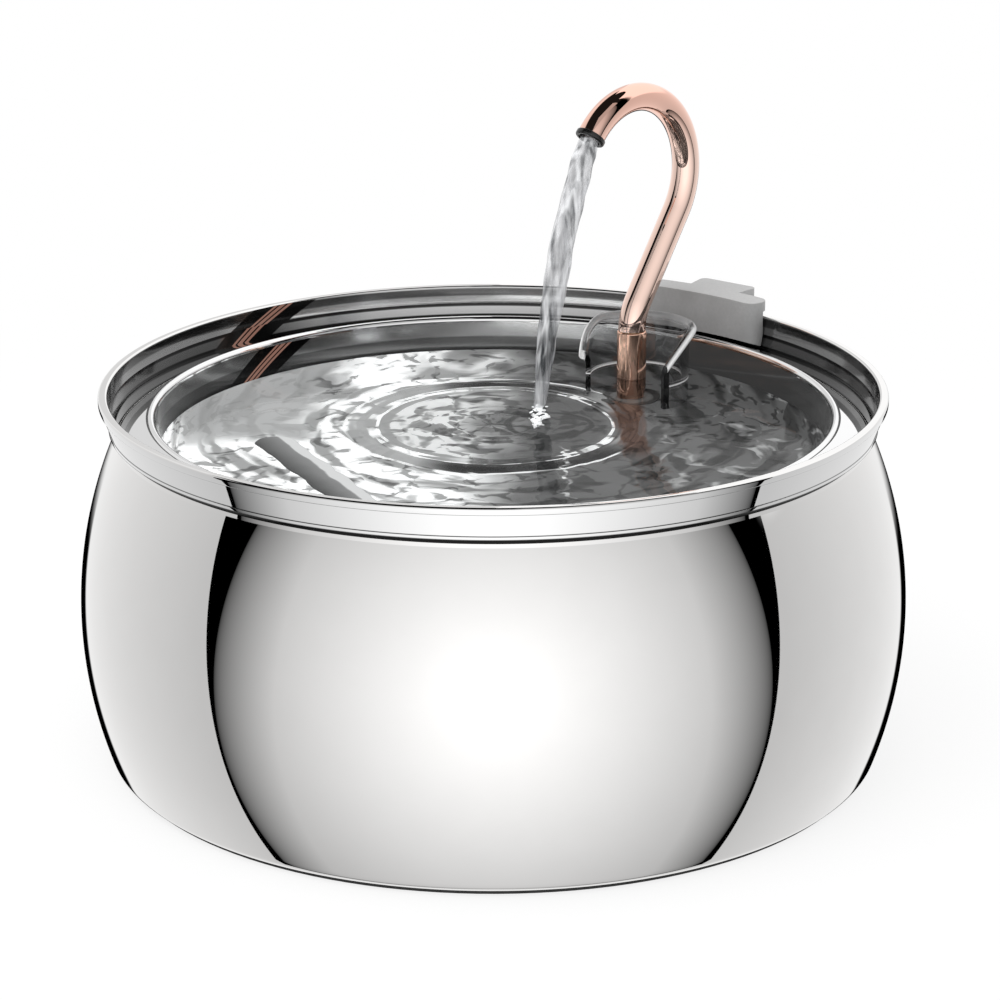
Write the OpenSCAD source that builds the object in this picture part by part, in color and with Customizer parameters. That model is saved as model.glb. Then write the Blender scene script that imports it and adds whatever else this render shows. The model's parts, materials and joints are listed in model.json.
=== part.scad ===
// Pet water fountain: a barrel-shaped steel bowl with a lift-out drinking tray, a bent
// copper-coloured spout fed by a submersible pump, and a filter cassette under the tray.
// Millimetres, +Z up, origin on the floor at the middle of the bowl. The front is -Y.

/* [Bowl] */
// Height of the bowl from the floor to its rim
bowl_h = 109.5; // [96:0.5:125]
// Thickness of the bowl's sheet steel
bowl_wall = 0.8; // [0.5:0.1:1.2]
// How far the rim flares out from the crease under it
rim_flare = 2.9; // [2:0.1:6]
// Width of the rolled rim's flat top
rim_land = 2.6; // [2:0.1:3]
// Height of the rim's upright outer band
hem_h = 2; // [1:0.5:3]
// How far the sheet is folded down inside the rim
fold_h = 5.5; // [4.5:0.5:6.5]
// How much further in the folded sheet reaches at its lower edge
fold_inset = 0.5; // [0.2:0.1:0.8]
// Step from the upright band in to the rim cone
hem_step = 0.4; // [0.2:0.1:0.8]
// How far the crease under the rim cone stands out from the neck
crease_out = 0.9; // [0.6:0.1:1.6]
// Depth of that crease below the rim
crease_drop = 8.8; // [8:0.1:9.5]
// Height between that crease and the straight part of the neck
neck_gap = 2.1; // [1.8:0.1:3]
// How far the neck, the narrowest part, draws in from the belly
neck_in = 10.9; // [7:0.1:14]
// Height of the straight part of the neck
neck_band = 3.2; // [2.5:0.1:3.6]
// Largest outer radius of the belly
belly_r = 120.1; // [100:0.1:140]
// Radius of the arc that the belly's side follows
belly_arc = 124.3; // [110:0.1:140]
// Radius of the rounded corner under the belly
heel_r = 3; // [2:0.5:6]

/* [Foot ring] */
// Height that the silicone foot ring lifts the bowl
foot_h = 1.2; // [0.8:0.1:3]
// How far the foot ring's outside is inside the edge of the bowl's flat foot
foot_inset = 0.2; // [0.1:0.1:10]
// Width of the foot ring
foot_w = 9; // [5:0.5:15]

/* [Tray] */
// Thickness of the tray's sheet steel
tray_wall = 0.8; // [0.5:0.1:1.2]
// Width of the flange from the middle of the tray's bead to that of its edge roll
flange_w = 9.5; // [8:0.1:12]
// Width of the rolled bead
bead_w = 2.8; // [2:0.2:4]
// Rise of the bead's top over the tray's outer edge
flange_rise = 3.1; // [2:0.1:5]
// How far the middle of the tray's edge roll is inside the crease
edge_inset = 2.2; // [1.8:0.1:2.4]
// Radius of the outer edge roll
edge_roll = 0.6; // [0.5:0.1:0.8]
// Depth of the tray from the bead's top to its floor
tray_depth = 32; // [28:0.5:36]
// How far the tray's wall draws in from its bead to its floor
wall_inset = 3; // [2:0.5:8]
// Inside corner radius between the tray's wall and floor
tray_fillet = 6; // [3:0.5:8]
// Gap between the tray's edge and the rim cone that carries it
seat_gap = 0.3; // [0.2:0.05:0.4]
// Length of the drain slot in the tray's floor
slot_l = 74; // [50:1:78]
// Width of the drain slot
slot_w = 12; // [8:0.5:16]
// How far the drain slot's middle is inside the edge of the tray's floor
slot_inset = 42.4; // [36:0.1:48]
// Direction of the drain slot's middle from the bowl's middle
slot_dir = 188.9; // [170:0.1:200]
// Angle of the drain slot from the X axis
slot_turn = -64.8; // [-70:0.1:-55]
// Width of the notch for the power cord in the tray's edge
notch_w = 7; // [5:0.5:9]

/* [Spout] */
// How far the spout and the pump outlet are inside the edge of the tray's floor
spout_inset = 15.7; // [14:0.1:20]
// Direction of the spout from the bowl's middle
spout_dir = 57.4; // [50:0.1:60]
// Outer diameter of the riser tube
riser_d = 9; // [8.4:0.1:10]
// Inner diameter of the riser tube
riser_bore = 6.4; // [5:0.1:6.8]
// Height of the riser's top over the tray's floor
riser_rise = 36.2; // [30:0.1:42]
// Outer diameter of the gooseneck tube
tube_d = 8.4; // [8:0.1:9]
// Inner diameter of the gooseneck tube
tube_bore = 6.4; // [5:0.1:6.6]
// Direction in which the gooseneck leans outward
lean_dir = 46.5; // [20:0.5:90]
// Radius of the gooseneck's lower bend
bend_r = 15; // [12:0.5:25]
// Angle by which the gooseneck leans from upright
lean = 34; // [25:1:45]
// Length of the gooseneck's straight part
straight_l = 30.8; // [20:0.1:40]
// Radius of the gooseneck's arch
arch_r = 24.5; // [20:0.5:30]
// Angle that the arch turns through
arch_turn = 173.6; // [150:0.1:190]
// Length of the ferrule that plugs into the riser
ferrule_l = 14; // [10:0.5:20]
// Diameter of the ferrule where it plugs into the riser
ferrule_d = 7.8; // [7:0.1:8]
// Gap between the riser's rim and the turning gooseneck's foot
turn_gap = 0.2; // [0.1:0.05:0.5]
// Thickness of an O-ring's cord
oring_d = 1; // [0.8:0.1:1.2]
// Outer diameter of the black ring at the spout's mouth
tip_d = 9.2; // [8.6:0.1:11]
// Length of the ring at the mouth
tip_l = 1.6; // [1:0.1:5]
// Running clearance round a turning or sliding tube
run_fit = 0.08; // [0.04:0.01:0.1]

/* [Tube guard] */
// How far the guard's middle is outward from the spout
guard_out = 1.4; // [0.8:0.1:2.2]
// Direction of the guard from the bowl's middle
guard_dir = 56.5; // [55:0.1:59]
// Outer radius of the guard's wall
guard_wall_r = 15.8; // [14:0.1:17]
// Thickness of the guard's wall
guard_wall = 1.5; // [1:0.1:2.5]
// How far the guard's lip stands out from its wall
guard_lip = 2.2; // [1:0.1:3]
// Height of the guard over the tray's floor
guard_h = 38.1; // [30:0.1:42]
// Half of the angle that the guard wraps round
guard_wrap = 118; // [90:1:140]
// How far the lip sweeps down at the guard's two front edges
guard_sweep = 9; // [4:0.5:14]

/* [Pump] */
// Height of a suction cup
cup_h = 7; // [5:0.5:9]
// Diameter of a suction cup
cup_d = 13; // [10:0.5:15]
// Width of the pump's housing
pump_w = 34; // [32:0.5:38]
// Height of the pump's housing
pump_h = 34; // [33:0.5:38]
// Length of the housing behind the outlet
pump_back = 26; // [25:0.5:28]
// Length of the housing in front of the outlet
pump_front = 6; // [6:0.5:8]
// Radius of the housing's upright corners
pump_round = 4; // [2:0.5:6]
// Thickness of the housing's outer walls
pump_wall = 2; // [1.5:0.1:2.4]
// Height of the impeller's axis over the housing's underside
axis_h = 20; // [19.5:0.1:21]
// Radius of the impeller's chamber
chamber_r = 12; // [11.5:0.1:12.4]
// Radius of the bore that the rotor turns in
well_r = 7.9; // [7.4:0.1:8.2]
// Wall round the rotor's bore
well_wall = 1.4; // [1:0.1:1.6]
// Clearance round the rotor and the impeller
rotor_gap = 0.5; // [0.4:0.05:0.8]
// Diameter of the ceramic shaft
shaft_d = 2; // [1.6:0.1:2.4]
// Outer diameter of the pump's outlet nozzle
nozzle_d = 8.4; // [7.6:0.1:8.6]
// Bore of the outlet nozzle
nozzle_bore = 5.6; // [4:0.1:6]
// Space between the silicone coupler and the riser's grommet
coupler_gap = 3.4; // [2:0.1:6]
// Share of the coupler's length that the outlet nozzle fills
nozzle_share = 0.41; // [0.35:0.01:0.5]
// Wall of the coupler
coupler_wall = 1.4; // [1:0.1:1.5]

/* [Pump cover] */
// Length of the intake cover
cover_l = 13; // [12:0.5:16]
// Thickness of the intake cover
cover_wall = 1.6; // [1.2:0.1:2]
// Width of one slot of the intake grille
grille_slot = 2; // [1.5:0.1:2.5]
// Spacing of the intake grille's slots
grille_pitch = 4; // [3.5:0.1:5]
// Gap between pieces that slide or lift off
slip = 0.3; // [0.2:0.05:0.4]
// Travel of the flow slider
flow_travel = 8; // [4:0.5:9]

/* [Filter] */
// Length of the filter cassette
filter_l = 86; // [80:1:90]
// Width of the filter cassette
filter_w = 32; // [28:0.5:34]
// Height of the filter cassette
filter_h = 9.8; // [9.5:0.1:12]
// Wall of the filter cassette
filter_wall = 1.4; // [1:0.1:2]
// Thickness of the wool pad
wool_h = 3; // [2:0.1:3.2]
// Space between the tray's underside and the cassette
filter_drop = 3.5; // [2.5:0.5:6]
// Thickness of the rails that carry the cassette
rail_wall = 1.6; // [1.2:0.1:2.5]

/* [Cord guide] */
// Direction of the cord guide from the bowl's middle
guide_dir = 52.2; // [46:0.1:60]
// How far the guide's front face is inside the rim
guide_inset = 8.8; // [8:0.1:10]
// Half angle of the guide's wide part
guide_half = 11.2; // [8:0.1:14]
// Half angle of the stem that passes over the rim
stem_half = 4.8; // [3.5:0.1:6]
// Half angle of the stem at its root
stem_root = 4.6; // [3.5:0.1:6]
// How far the stem reaches past the rim
stem_out = 8; // [5:0.5:12]
// Height of the guide's top over the rim
guide_rise = 5; // [4.5:0.5:8]
// Radius of the guide's two rounded ends
guide_round = 3.7; // [1:0.1:3.7]
// Radius of the stem's upright corners
stem_round = 2; // [1:0.2:3]
// How far the stem hooks down outside the rim
hook_h = 4; // [2:0.5:6]
// Thickness of the soft pad between the guide and the rim
pad_h = 1.5; // [1:0.1:2.5]
// Diameter of the cord that the guide takes
cord_d = 3.6; // [3:0.1:4]
// Width of the guide's cord channel
channel_w = 6.2; // [5.8:0.1:7]
// Height of the cord channel over the rim
channel_h = 4.2; // [4.1:0.1:4.4]

/* [Hidden] */
$fn = 48;

// A cut runs this far past the face that it opens
past = 1;
// Steps along one quarter of a small round corner
corner_steps = 5;

// ---- Heights and places that follow from the sizes above ----

neck_r = belly_r - neck_in;
crease_r = neck_r + crease_out;
rim_r = crease_r + rim_flare;

floor_z = foot_h + bowl_wall;
hem_z = bowl_h - hem_h;
crease_z = bowl_h - crease_drop;
neck_top = crease_z - neck_gap;
neck_z = neck_top - neck_band;
belly_c = belly_r - belly_arc;
neck_angle = acos((neck_r - belly_c) / belly_arc);
belly_z = neck_z - belly_arc * sin(neck_angle);
heel_z = foot_h + heel_r;
heel_x = belly_c + sqrt(pow(belly_arc - heel_r, 2) - pow(belly_z - heel_z, 2));
heel_angle = atan2(heel_z - belly_z, heel_x - belly_c);
foot_r = heel_x - foot_inset;

edge_r = crease_r - edge_inset;
bead_r = edge_r - flange_w;
tray_floor_r = bead_r - bead_w / 2 - wall_inset;
spout_r = tray_floor_r - spout_inset;
guard_r = spout_r + guard_out;
slot_at = (tray_floor_r - slot_inset) * [cos(slot_dir), sin(slot_dir)];
guide_in_r = rim_r - guide_inset;

// The tray's edge roll rests where the cone above the neck closes in on it
seat_slope = (crease_r - neck_r) / (crease_z - neck_top);
seat_reach = (edge_roll + seat_gap) * sqrt(1 + seat_slope * seat_slope);
edge_z = neck_top + (edge_r + seat_reach - neck_r + bowl_wall) / seat_slope;
bead_z = edge_z + flange_rise;
tray_z = bead_z - tray_depth;
tray_under = tray_z - tray_wall;

spout_at = spout_r * [cos(spout_dir), sin(spout_dir), 0];
riser_top = tray_z + riser_rise;
socket_d = ferrule_d + 2 * run_fit;
pump_z = floor_z + cup_h;

// The coupler fills the height between the pump and the grommet under the tray
grommet_lip = 1.6;
coupler_foot = pump_z + pump_h;
coupler_l = tray_under - grommet_lip - coupler_gap - coupler_foot;
nozzle_h = nozzle_share * coupler_l;
nozzle_top = coupler_foot + nozzle_h;
riser_gap = 1;
riser_foot = nozzle_top + riser_gap;

function arc(middle, radius, from, to, steps) =
    [for (i = [0:steps])
        let (a = from + (to - from) * i / steps)
        middle + radius * [cos(a), sin(a)]];

// A rectangle with round corners, as outline points
function round_box(length, width, round) =
    concat(
        arc([length / 2 - round, width / 2 - round], round, 0, 90, corner_steps),
        arc([round - length / 2, width / 2 - round], round, 90, 180, corner_steps),
        arc([round - length / 2, round - width / 2], round, 180, 270, corner_steps),
        arc([length / 2 - round, round - width / 2], round, 270, 360, corner_steps)
    );

// A slot with half-round ends, as outline points
function slot_form(length, width) =
    concat(
        arc([(length - width) / 2, 0], width / 2, -90, 90, 2 * corner_steps),
        arc([(width - length) / 2, 0], width / 2, 90, 270, 2 * corner_steps)
    );

module ring(outer_d, inner_d, height) {
    difference() {
        cylinder(d = outer_d, h = height);
        translate([0, 0, -past]) cylinder(d = inner_d, h = height + 2 * past);
    }
}

module block(from, to) {
    translate(from) cube(to - from);
}

// ---- Bowl ----

// The bowl's section from the foot to a given height, moved in by the sheet's thickness
function bowl_section(inset) =
    concat(
        [[0, foot_h + inset]],
        arc([heel_x, heel_z], heel_r - inset, -90, heel_angle, 4),
        arc([belly_c, belly_z], belly_arc - inset, heel_angle, neck_angle, 28),
        [[neck_r - inset, neck_top], [crease_r - inset, crease_z]]
    );

cone_top_r = rim_r - hem_step;
cone_slope = (cone_top_r - crease_r) / (hem_z - crease_z);
fold_z = bowl_h - fold_h;
rim_in = rim_r - rim_land;
land_round = 0.8;

module outer_bowl() color("silver") {
    fold_r = crease_r - bowl_wall + cone_slope * (fold_z - crease_z);
    difference() {
        rotate_extrude()
            polygon(concat(
                bowl_section(0),
                [[cone_top_r, hem_z], [rim_r, hem_z]],
                arc([rim_r - land_round, bowl_h - land_round], land_round, 0, 90, 4),
                [[0, bowl_h]]
            ));
        rotate_extrude()
            polygon(concat(
                bowl_section(bowl_wall),
                [[fold_r, fold_z], [rim_in - fold_inset, fold_z]],
                arc([rim_in + land_round, bowl_h - land_round], land_round, 180, 90, 4),
                [[rim_in + land_round, bowl_h + past], [0, bowl_h + past]]
            ));
    }
}

module foot_ring() color("dimgray")
    ring(2 * foot_r, 2 * (foot_r - foot_w), foot_h);

// ---- Tray ----

// The tray's section: over the floor, up the wall, round the bead, down the flange and back
tray_section = concat(
    [[0, tray_z]],
    arc([tray_floor_r - tray_fillet, tray_z + tray_fillet], tray_fillet, -90, 0, 6),
    arc([bead_r, bead_z - bead_w / 2], bead_w / 2, 180, 30, 8),
    arc([edge_r, edge_z], edge_roll, 75, -120, 8),
    [
        [bead_r + bead_w / 2, bead_z - bead_w / 2 - tray_wall],
        [bead_r - bead_w / 2 + tray_wall, bead_z - bead_w]
    ],
    arc([tray_floor_r - tray_fillet, tray_z + tray_fillet], tray_fillet + tray_wall, 0, -90, 6),
    [[0, tray_under]]
);

module at_slot(height) {
    translate([slot_at[0], slot_at[1], height]) rotate([0, 0, slot_turn]) children();
}

module drinking_tray() color("gainsboro")
    difference() {
        rotate_extrude() polygon(tray_section);
        translate(spout_at + [0, 0, tray_under - past])
            cylinder(d = grommet_hole, h = tray_wall + 2 * past);
        at_slot(tray_under - past)
            linear_extrude(tray_wall + 2 * past) polygon(slot_form(slot_l, slot_w));
        rotate([0, 0, guide_dir])
            block([edge_r - notch_w / 2, -notch_w / 2, edge_z - bead_w],
                [rim_r, notch_w / 2, bead_z + past]);
    }

// ---- Clear guard round the riser ----

guard_steps = 40;
lip_sides = 10;
guard_fall_from = guard_wrap - 50;
guard_in = guard_wall_r - guard_wall;
lip_r = guard_wall / 2 + guard_lip / 4;

// The lip's height falls from the back of the guard to its two front edges
function guard_fall(a) =
    let (t = max(0, (abs(a) - guard_fall_from) / (guard_wrap - guard_fall_from)))
    guard_sweep * t * t;

// Height of the tray's inside face at a distance from the bowl's middle
function tray_inside(r) =
    let (
        flat_r = tray_floor_r - tray_fillet,
        wall_rise = bead_z - bead_w / 2 - tray_z - tray_fillet,
        wall_run = bead_r - bead_w / 2 - tray_floor_r,
        over = max(0, min(r, tray_floor_r) - flat_r)
    )
    r > tray_floor_r ?
        tray_z + tray_fillet + (r - tray_floor_r) * wall_rise / wall_run :
        tray_z + tray_fillet - sqrt(tray_fillet * tray_fillet - over * over);

// The guard stands on the tray's flat floor and is cut away where the wall comes in under it
function guard_foot(a) =
    let (r = norm([guard_r + guard_wall_r * cos(a), guard_wall_r * sin(a)]))
    r < tray_floor_r - tray_fillet ? tray_z : tray_inside(r + slip);

// One upright section of the guard at an angle: wall inside, lip, and wall outside
function guard_slice(a) =
    let (
        foot = guard_foot(a),
        top = tray_z + guard_h - guard_fall(a),
        lip_mid = guard_wall_r + guard_lip - lip_r
    )
    concat(
        [[guard_wall_r, foot], [guard_in, foot], [guard_in, top - 2 * lip_r]],
        arc([lip_mid, top - lip_r], lip_r, 150, -100, lip_sides),
        [[guard_wall_r, top - 2 * lip_r - guard_lip / 2]]
    );

module tube_guard() color([0.55, 0.55, 0.55, 0.5]) {
    slices = [for (i = [0:guard_steps]) -guard_wrap + 2 * guard_wrap * i / guard_steps];
    sides = len(guard_slice(0));
    points = [
        for (a = slices) for (p = guard_slice(a)) [p[0] * cos(a), p[0] * sin(a), p[1]]
    ];
    walls = [
        for (i = [0:guard_steps - 1]) for (j = [0:sides - 1])
            let (k = (j + 1) % sides)
            [i * sides + j, (i + 1) * sides + j, (i + 1) * sides + k, i * sides + k]
    ];
    triangles = [for (w = walls) for (t = [[w[0], w[2], w[1]], [w[0], w[3], w[2]]]) t];
    first = [for (j = [0:sides - 1]) sides - 1 - j];
    last = [for (j = [0:sides - 1]) guard_steps * sides + j];
    rotate([0, 0, guard_dir]) translate([guard_r, 0, 0])
        polyhedron(points, concat(triangles, [first, last]));
}

// ---- Riser, gooseneck and what seals them ----

grommet_wall = 2.5;
grommet_rim = 2;
grommet_hole = riser_d + 2 * grommet_wall;
grommet_out = grommet_hole / 2 + grommet_rim;

module riser_grommet() color("whitesmoke") translate(spout_at) {
    bore = riser_d / 2 + run_fit;
    rotate_extrude()
        polygon([
            [bore, tray_under - grommet_lip], [grommet_out, tray_under - grommet_lip],
            [grommet_out, tray_under], [grommet_hole / 2, tray_under],
            [grommet_hole / 2, tray_z], [grommet_out, tray_z],
            [grommet_out, tray_z + grommet_lip], [bore, tray_z + grommet_lip]
        ]);
}

socket_l = ferrule_l + slip;

module riser_tube() color("rosybrown") translate(spout_at)
    difference() {
        translate([0, 0, riser_foot]) cylinder(d = riser_d, h = riser_top - riser_foot);
        translate([0, 0, riser_foot - past])
            cylinder(d = riser_bore, h = riser_top - riser_foot + 2 * past);
        translate([0, 0, riser_top - socket_l]) cylinder(d = socket_d, h = socket_l + past);
    }

// The gooseneck's middle line in its own upright plane: outward distance, height and lean
neck_start = riser_top + turn_gap;
straight_from = [bend_r * (1 - cos(lean)), neck_start + bend_r * sin(lean)];
straight_to = straight_from + straight_l * [sin(lean), cos(lean)];
arch_mid = straight_to + arch_r * [-cos(lean), sin(lean)];
mouth_lean = lean - arch_turn;
mouth_at = arch_mid + arch_r * [cos(mouth_lean), -sin(mouth_lean)];

bend_steps = 8;
arch_steps = 34;
tube_sides = 24;

neck_path = concat(
    [for (i = [0:bend_steps])
        let (a = lean * i / bend_steps)
        [bend_r * (1 - cos(a)), neck_start + bend_r * sin(a), a]],
    [for (i = [0:arch_steps])
        let (a = lean - arch_turn * i / arch_steps, p = arch_mid + arch_r * [cos(a), -sin(a)])
        [p[0], p[1], a]]
);

// A tube swept along the gooseneck's path: outside, inside and its two flat ends
module swept_tube(path, outer_d, inner_d) {
    count = len(path);
    function hoop(at, r) = [
        for (j = [0:tube_sides - 1])
            let (t = 360 * j / tube_sides, across = r * cos(t))
            [at[0] + across * cos(at[2]), r * sin(t), at[1] - across * sin(at[2])]
    ];
    points = concat(
        [for (at = path) for (p = hoop(at, outer_d / 2)) p],
        [for (at = path) for (p = hoop(at, inner_d / 2)) p]
    );
    inner = count * tube_sides;
    function quad(a, b, c, d) = [[a, b, c], [a, c, d]];
    faces = [
        for (i = [0:count - 2]) for (j = [0:tube_sides - 1])
            let (k = (j + 1) % tube_sides, low = i * tube_sides, high = low + tube_sides)
            each concat(
                quad(low + j, high + j, high + k, low + k),
                quad(inner + low + j, inner + low + k, inner + high + k, inner + high + j)
            )
    ];
    end = (count - 1) * tube_sides;
    ends = [
        for (j = [0:tube_sides - 1])
            let (k = (j + 1) % tube_sides)
            each concat(
                quad(j, k, inner + k, inner + j),
                quad(end + k, end + j, inner + end + j, inner + end + k)
            )
    ];
    polyhedron(points, concat(faces, ends));
}

module in_neck_plane() {
    translate(spout_at) rotate([0, 0, lean_dir]) children();
}

module gooseneck() color("lightsalmon") in_neck_plane()
    swept_tube(neck_path, tube_d, tube_bore);

groove_d = ferrule_d - 2 * oring_d;
groove_h = 1.2 * oring_d;
ferrule_wall = 1;
ferrule_bore = groove_d - 2 * ferrule_wall;
plug_d = tube_bore - 0.4;
plug_l = 2;
oring_heights = [riser_top - ferrule_l * 0.3, riser_top - ferrule_l * 0.7];

module spout_ferrule() color("goldenrod") translate(spout_at)
    difference() {
        union() {
            translate([0, 0, riser_top - ferrule_l]) cylinder(d = ferrule_d, h = ferrule_l + turn_gap);
            translate([0, 0, riser_top]) cylinder(d = plug_d, h = turn_gap + plug_l);
        }
        translate([0, 0, riser_top - ferrule_l - past])
            cylinder(d = ferrule_bore, h = ferrule_l + plug_l + 2 * past);
        for (z = oring_heights)
            translate([0, 0, z - groove_h / 2]) ring(ferrule_d + past, groove_d, groove_h);
    }

module spout_orings() color("black") translate(spout_at)
    for (z = oring_heights)
        translate([0, 0, z])
            rotate_extrude() translate([(socket_d - oring_d) / 2 - run_fit / 2, 0])
                circle(d = oring_d);

module mouth_ring() color("black") in_neck_plane()
    translate([mouth_at[0], 0, mouth_at[1]]) rotate([0, mouth_lean, 0])
        ring(tip_d, tube_bore, tip_l);

// ---- Pump: its own frame has X outward from the bowl's middle, the outlet at 0 ----

module in_pump() {
    translate(spout_at + [0, 0, pump_z]) rotate([0, 0, spout_dir]) children();
}

// Turns a solid made along Z to lie along the impeller's axis, starting at a given place
module along_axis(from) {
    translate([from, 0, axis_h]) rotate([0, 90, 0]) children();
}

pump_l = pump_front + pump_back;
pocket_depth = 2;
pocket_r = chamber_r + 2;
chamber_back = 4;
well_back = 19;
bush_d = 3.2;
bush_l = 3;
cavity_front = chamber_back + pump_wall;
lip_l = 3;
lip_size = pump_w - 2 * cover_wall - 2 * slip;

module pump_housing() color("white") in_pump() {
    difference() {
        union() {
            translate([(pump_back - pump_front) / 2, 0, 0])
                linear_extrude(pump_h) polygon(round_box(pump_l, pump_w, pump_round));
            translate([0, 0, pump_h - past]) cylinder(d = nozzle_d, h = nozzle_h + past);
            block([-pump_front - lip_l, -lip_size / 2, cover_wall + slip],
                [-pump_front + past, lip_size / 2, pump_h - cover_wall - slip]);
        }
        along_axis(-pump_front - lip_l - past)
            cylinder(r = pocket_r, h = lip_l + past + pocket_depth);
        along_axis(-pump_front) cylinder(r = chamber_r, h = pump_front + chamber_back);
        along_axis(0) cylinder(r = well_r, h = well_back);
        along_axis(well_back - past) cylinder(d = bush_d, h = bush_l + past);
        translate([0, 0, axis_h]) cylinder(d = nozzle_bore, h = pump_h + nozzle_h);
        difference() {
            block([cavity_front, pump_wall - pump_w / 2, pump_wall],
                [pump_back + past, pump_w / 2 - pump_wall, pump_h - pump_wall]);
            along_axis(chamber_back)
                cylinder(r = well_r + well_wall, h = well_back + bush_l + well_wall - chamber_back);
        }
    }
}

cup_inset = cup_d / 2 + 0.5;
cup_back = pump_back - cup_inset - 1;
cup_front = cup_inset - pump_front;
cup_y = pump_w / 2 - cup_inset;
cup_edge = 0.8;
cup_stem = cup_d / 4;

module suction_cups() color("lightgray") in_pump()
    for (x = [cup_back, cup_front]) for (y = [-cup_y, cup_y])
        translate([x, y, -cup_h]) difference() {
            rotate_extrude()
                polygon([
                    [0, 0], [cup_d / 2, 0], [cup_d / 2, cup_edge], [cup_stem, cup_h * 0.55],
                    [cup_stem, cup_h], [0, cup_h]
                ]);
            translate([0, 0, -past]) cylinder(r1 = cup_d / 2, r2 = cup_edge, h = cup_h * 0.4 + past);
        }

core_from = 9;
core_l = 10;
core_to = core_from + core_l;
arm_gap = 0.2;
arm_in = well_r + well_wall + arm_gap;
arm_w = pump_w / 2 - pump_wall - arm_in - 2 * arm_gap;
bridge_z = pump_wall + 3;
bridge_h = 4;
coil_wrap = 2.2;
coil_w = 2 * arm_in - 1;
coil_top = axis_h - well_r - well_wall - arm_gap / 2;

module core_form() {
    block([core_from, -arm_in - arm_w, bridge_z], [core_to, arm_in + arm_w, bridge_z + bridge_h]);
    for (y = [-arm_in - arm_w, arm_in])
        block([core_from, y, bridge_z], [core_to, y + arm_w, axis_h + well_r]);
}

module coil_form() {
    block([core_from - coil_wrap, -coil_w / 2, bridge_z - coil_wrap],
        [core_to + coil_wrap, coil_w / 2, coil_top]);
}

module stator_core() color("slategray") in_pump() core_form();

module stator_coil() color("chocolate") in_pump()
    difference() {
        coil_form();
        block([core_from, -coil_w, bridge_z], [core_to, coil_w, bridge_z + bridge_h]);
    }

module potting() color("darkslategray") in_pump()
    difference() {
        block([cavity_front, pump_wall - pump_w / 2, pump_wall],
            [pump_back, pump_w / 2 - pump_wall, pump_h - pump_wall]);
        along_axis(cavity_front - past)
            cylinder(r = well_r + well_wall, h = well_back + bush_l + well_wall - cavity_front + past);
        core_form();
        coil_form();
    }

gland_h = 5;
gland_foot = 2;
gland_wall = 1.2;

module cord_gland() color("dimgray") in_pump()
    translate([pump_back - 6, 0, pump_h])
        difference() {
            union() {
                cylinder(d = cord_d + 2 * (gland_wall + past), h = gland_foot);
                cylinder(d = cord_d + 2 * gland_wall, h = gland_h);
            }
            translate([0, 0, gland_foot]) cylinder(d = cord_d, h = gland_h);
        }

shaft_bore = shaft_d + 2 * run_fit;
end_gap = 0.1;

module bush(from, length) {
    along_axis(from) ring(bush_d - 2 * run_fit, shaft_bore, length);
}

module rear_bush() color("black") in_pump()
    bush(well_back + end_gap, bush_l - 2 * end_gap);

shaft_from = 0.4 - pump_front;
shaft_to = well_back + bush_l - 2 * end_gap;

module impeller_shaft() color("ivory") in_pump()
    along_axis(shaft_from) cylinder(d = shaft_d, h = shaft_to - shaft_from);

magnet_from = chamber_back + 1;
magnet_to = well_back - 0.6;
wheel_from = pocket_depth - pump_front + 1;
plate_from = chamber_back - 2;
plate_t = 1.2;
wheel_r = chamber_r - 2 * rotor_gap;
hub_r = shaft_d + 1;
vane_count = 5;
vane_w = 1.2;
vane_r = wheel_r - 0.4;

module rotor_magnet() color("dimgray") in_pump()
    along_axis(magnet_from)
        ring(2 * (well_r - rotor_gap), shaft_bore, magnet_to - magnet_from);

module impeller_wheel() color("white") in_pump()
    difference() {
        union() {
            along_axis(wheel_from) cylinder(r = hub_r, h = magnet_from - wheel_from);
            along_axis(plate_from) cylinder(r = wheel_r, h = plate_t);
            for (i = [1:vane_count])
                translate([0, 0, axis_h]) rotate([360 * i / vane_count, 0, 0])
                    block([wheel_from, -vane_w / 2, hub_r - vane_w / 2],
                        [plate_from + plate_t / 2, vane_w / 2, vane_r]);
        }
        along_axis(wheel_from - past)
            cylinder(d = shaft_bore, h = magnet_from - wheel_from + 2 * past);
    }

plate_at = end_gap - pump_front;
lid_plate_t = pocket_depth - slip;
boss_l = 2;
boss_r = bush_d / 2 + 1.2;
inlet_count = 6;

module impeller_cover() color("whitesmoke") in_pump()
    difference() {
        union() {
            along_axis(plate_at) cylinder(r = pocket_r - slip, h = lid_plate_t);
            along_axis(plate_at - boss_l) cylinder(r = boss_r, h = boss_l + lid_plate_t);
        }
        along_axis(plate_at - past) cylinder(d = bush_d, h = pocket_depth + 2 * past);
        for (i = [1:inlet_count])
            translate([0, 0, axis_h]) rotate([360 * i / inlet_count, 0, 0])
                translate([plate_at - past, 0, pocket_r / 2]) rotate([0, 90, 0])
                    cylinder(r = pocket_r / 5, h = pocket_depth + 2 * past);
    }

module front_bush() color("black") in_pump()
    bush(plate_at - past + end_gap, pocket_depth + past / 2);

module outlet_coupler() color("lightgray") translate(spout_at) {
    from = coupler_foot;
    lower = nozzle_d / 2;
    upper = riser_d / 2 + run_fit;
    outside = upper + coupler_wall;
    rotate_extrude()
        polygon([
            [lower, from], [outside, from], [outside, from + coupler_l],
            [upper, from + coupler_l], [upper, nozzle_top], [lower, nozzle_top]
        ]);
}

cover_back = -pump_front - slip;
cover_front = cover_back - cover_l;
cover_inside = cover_front + cover_wall;
slider_h = 7;
slider_t = 1.2;
slider_z = pump_h - cover_wall - 3 - slider_h;
knob_w = 4;
knob_h = 3;
knob_out = 1.5;
knob_z = slider_z + (slider_h - knob_h) / 2;
rail = 1.2;
rail_half = 12;
rail_deep = 2;
grille_foot = 4;
grille_half = 3 * grille_pitch;

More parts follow.
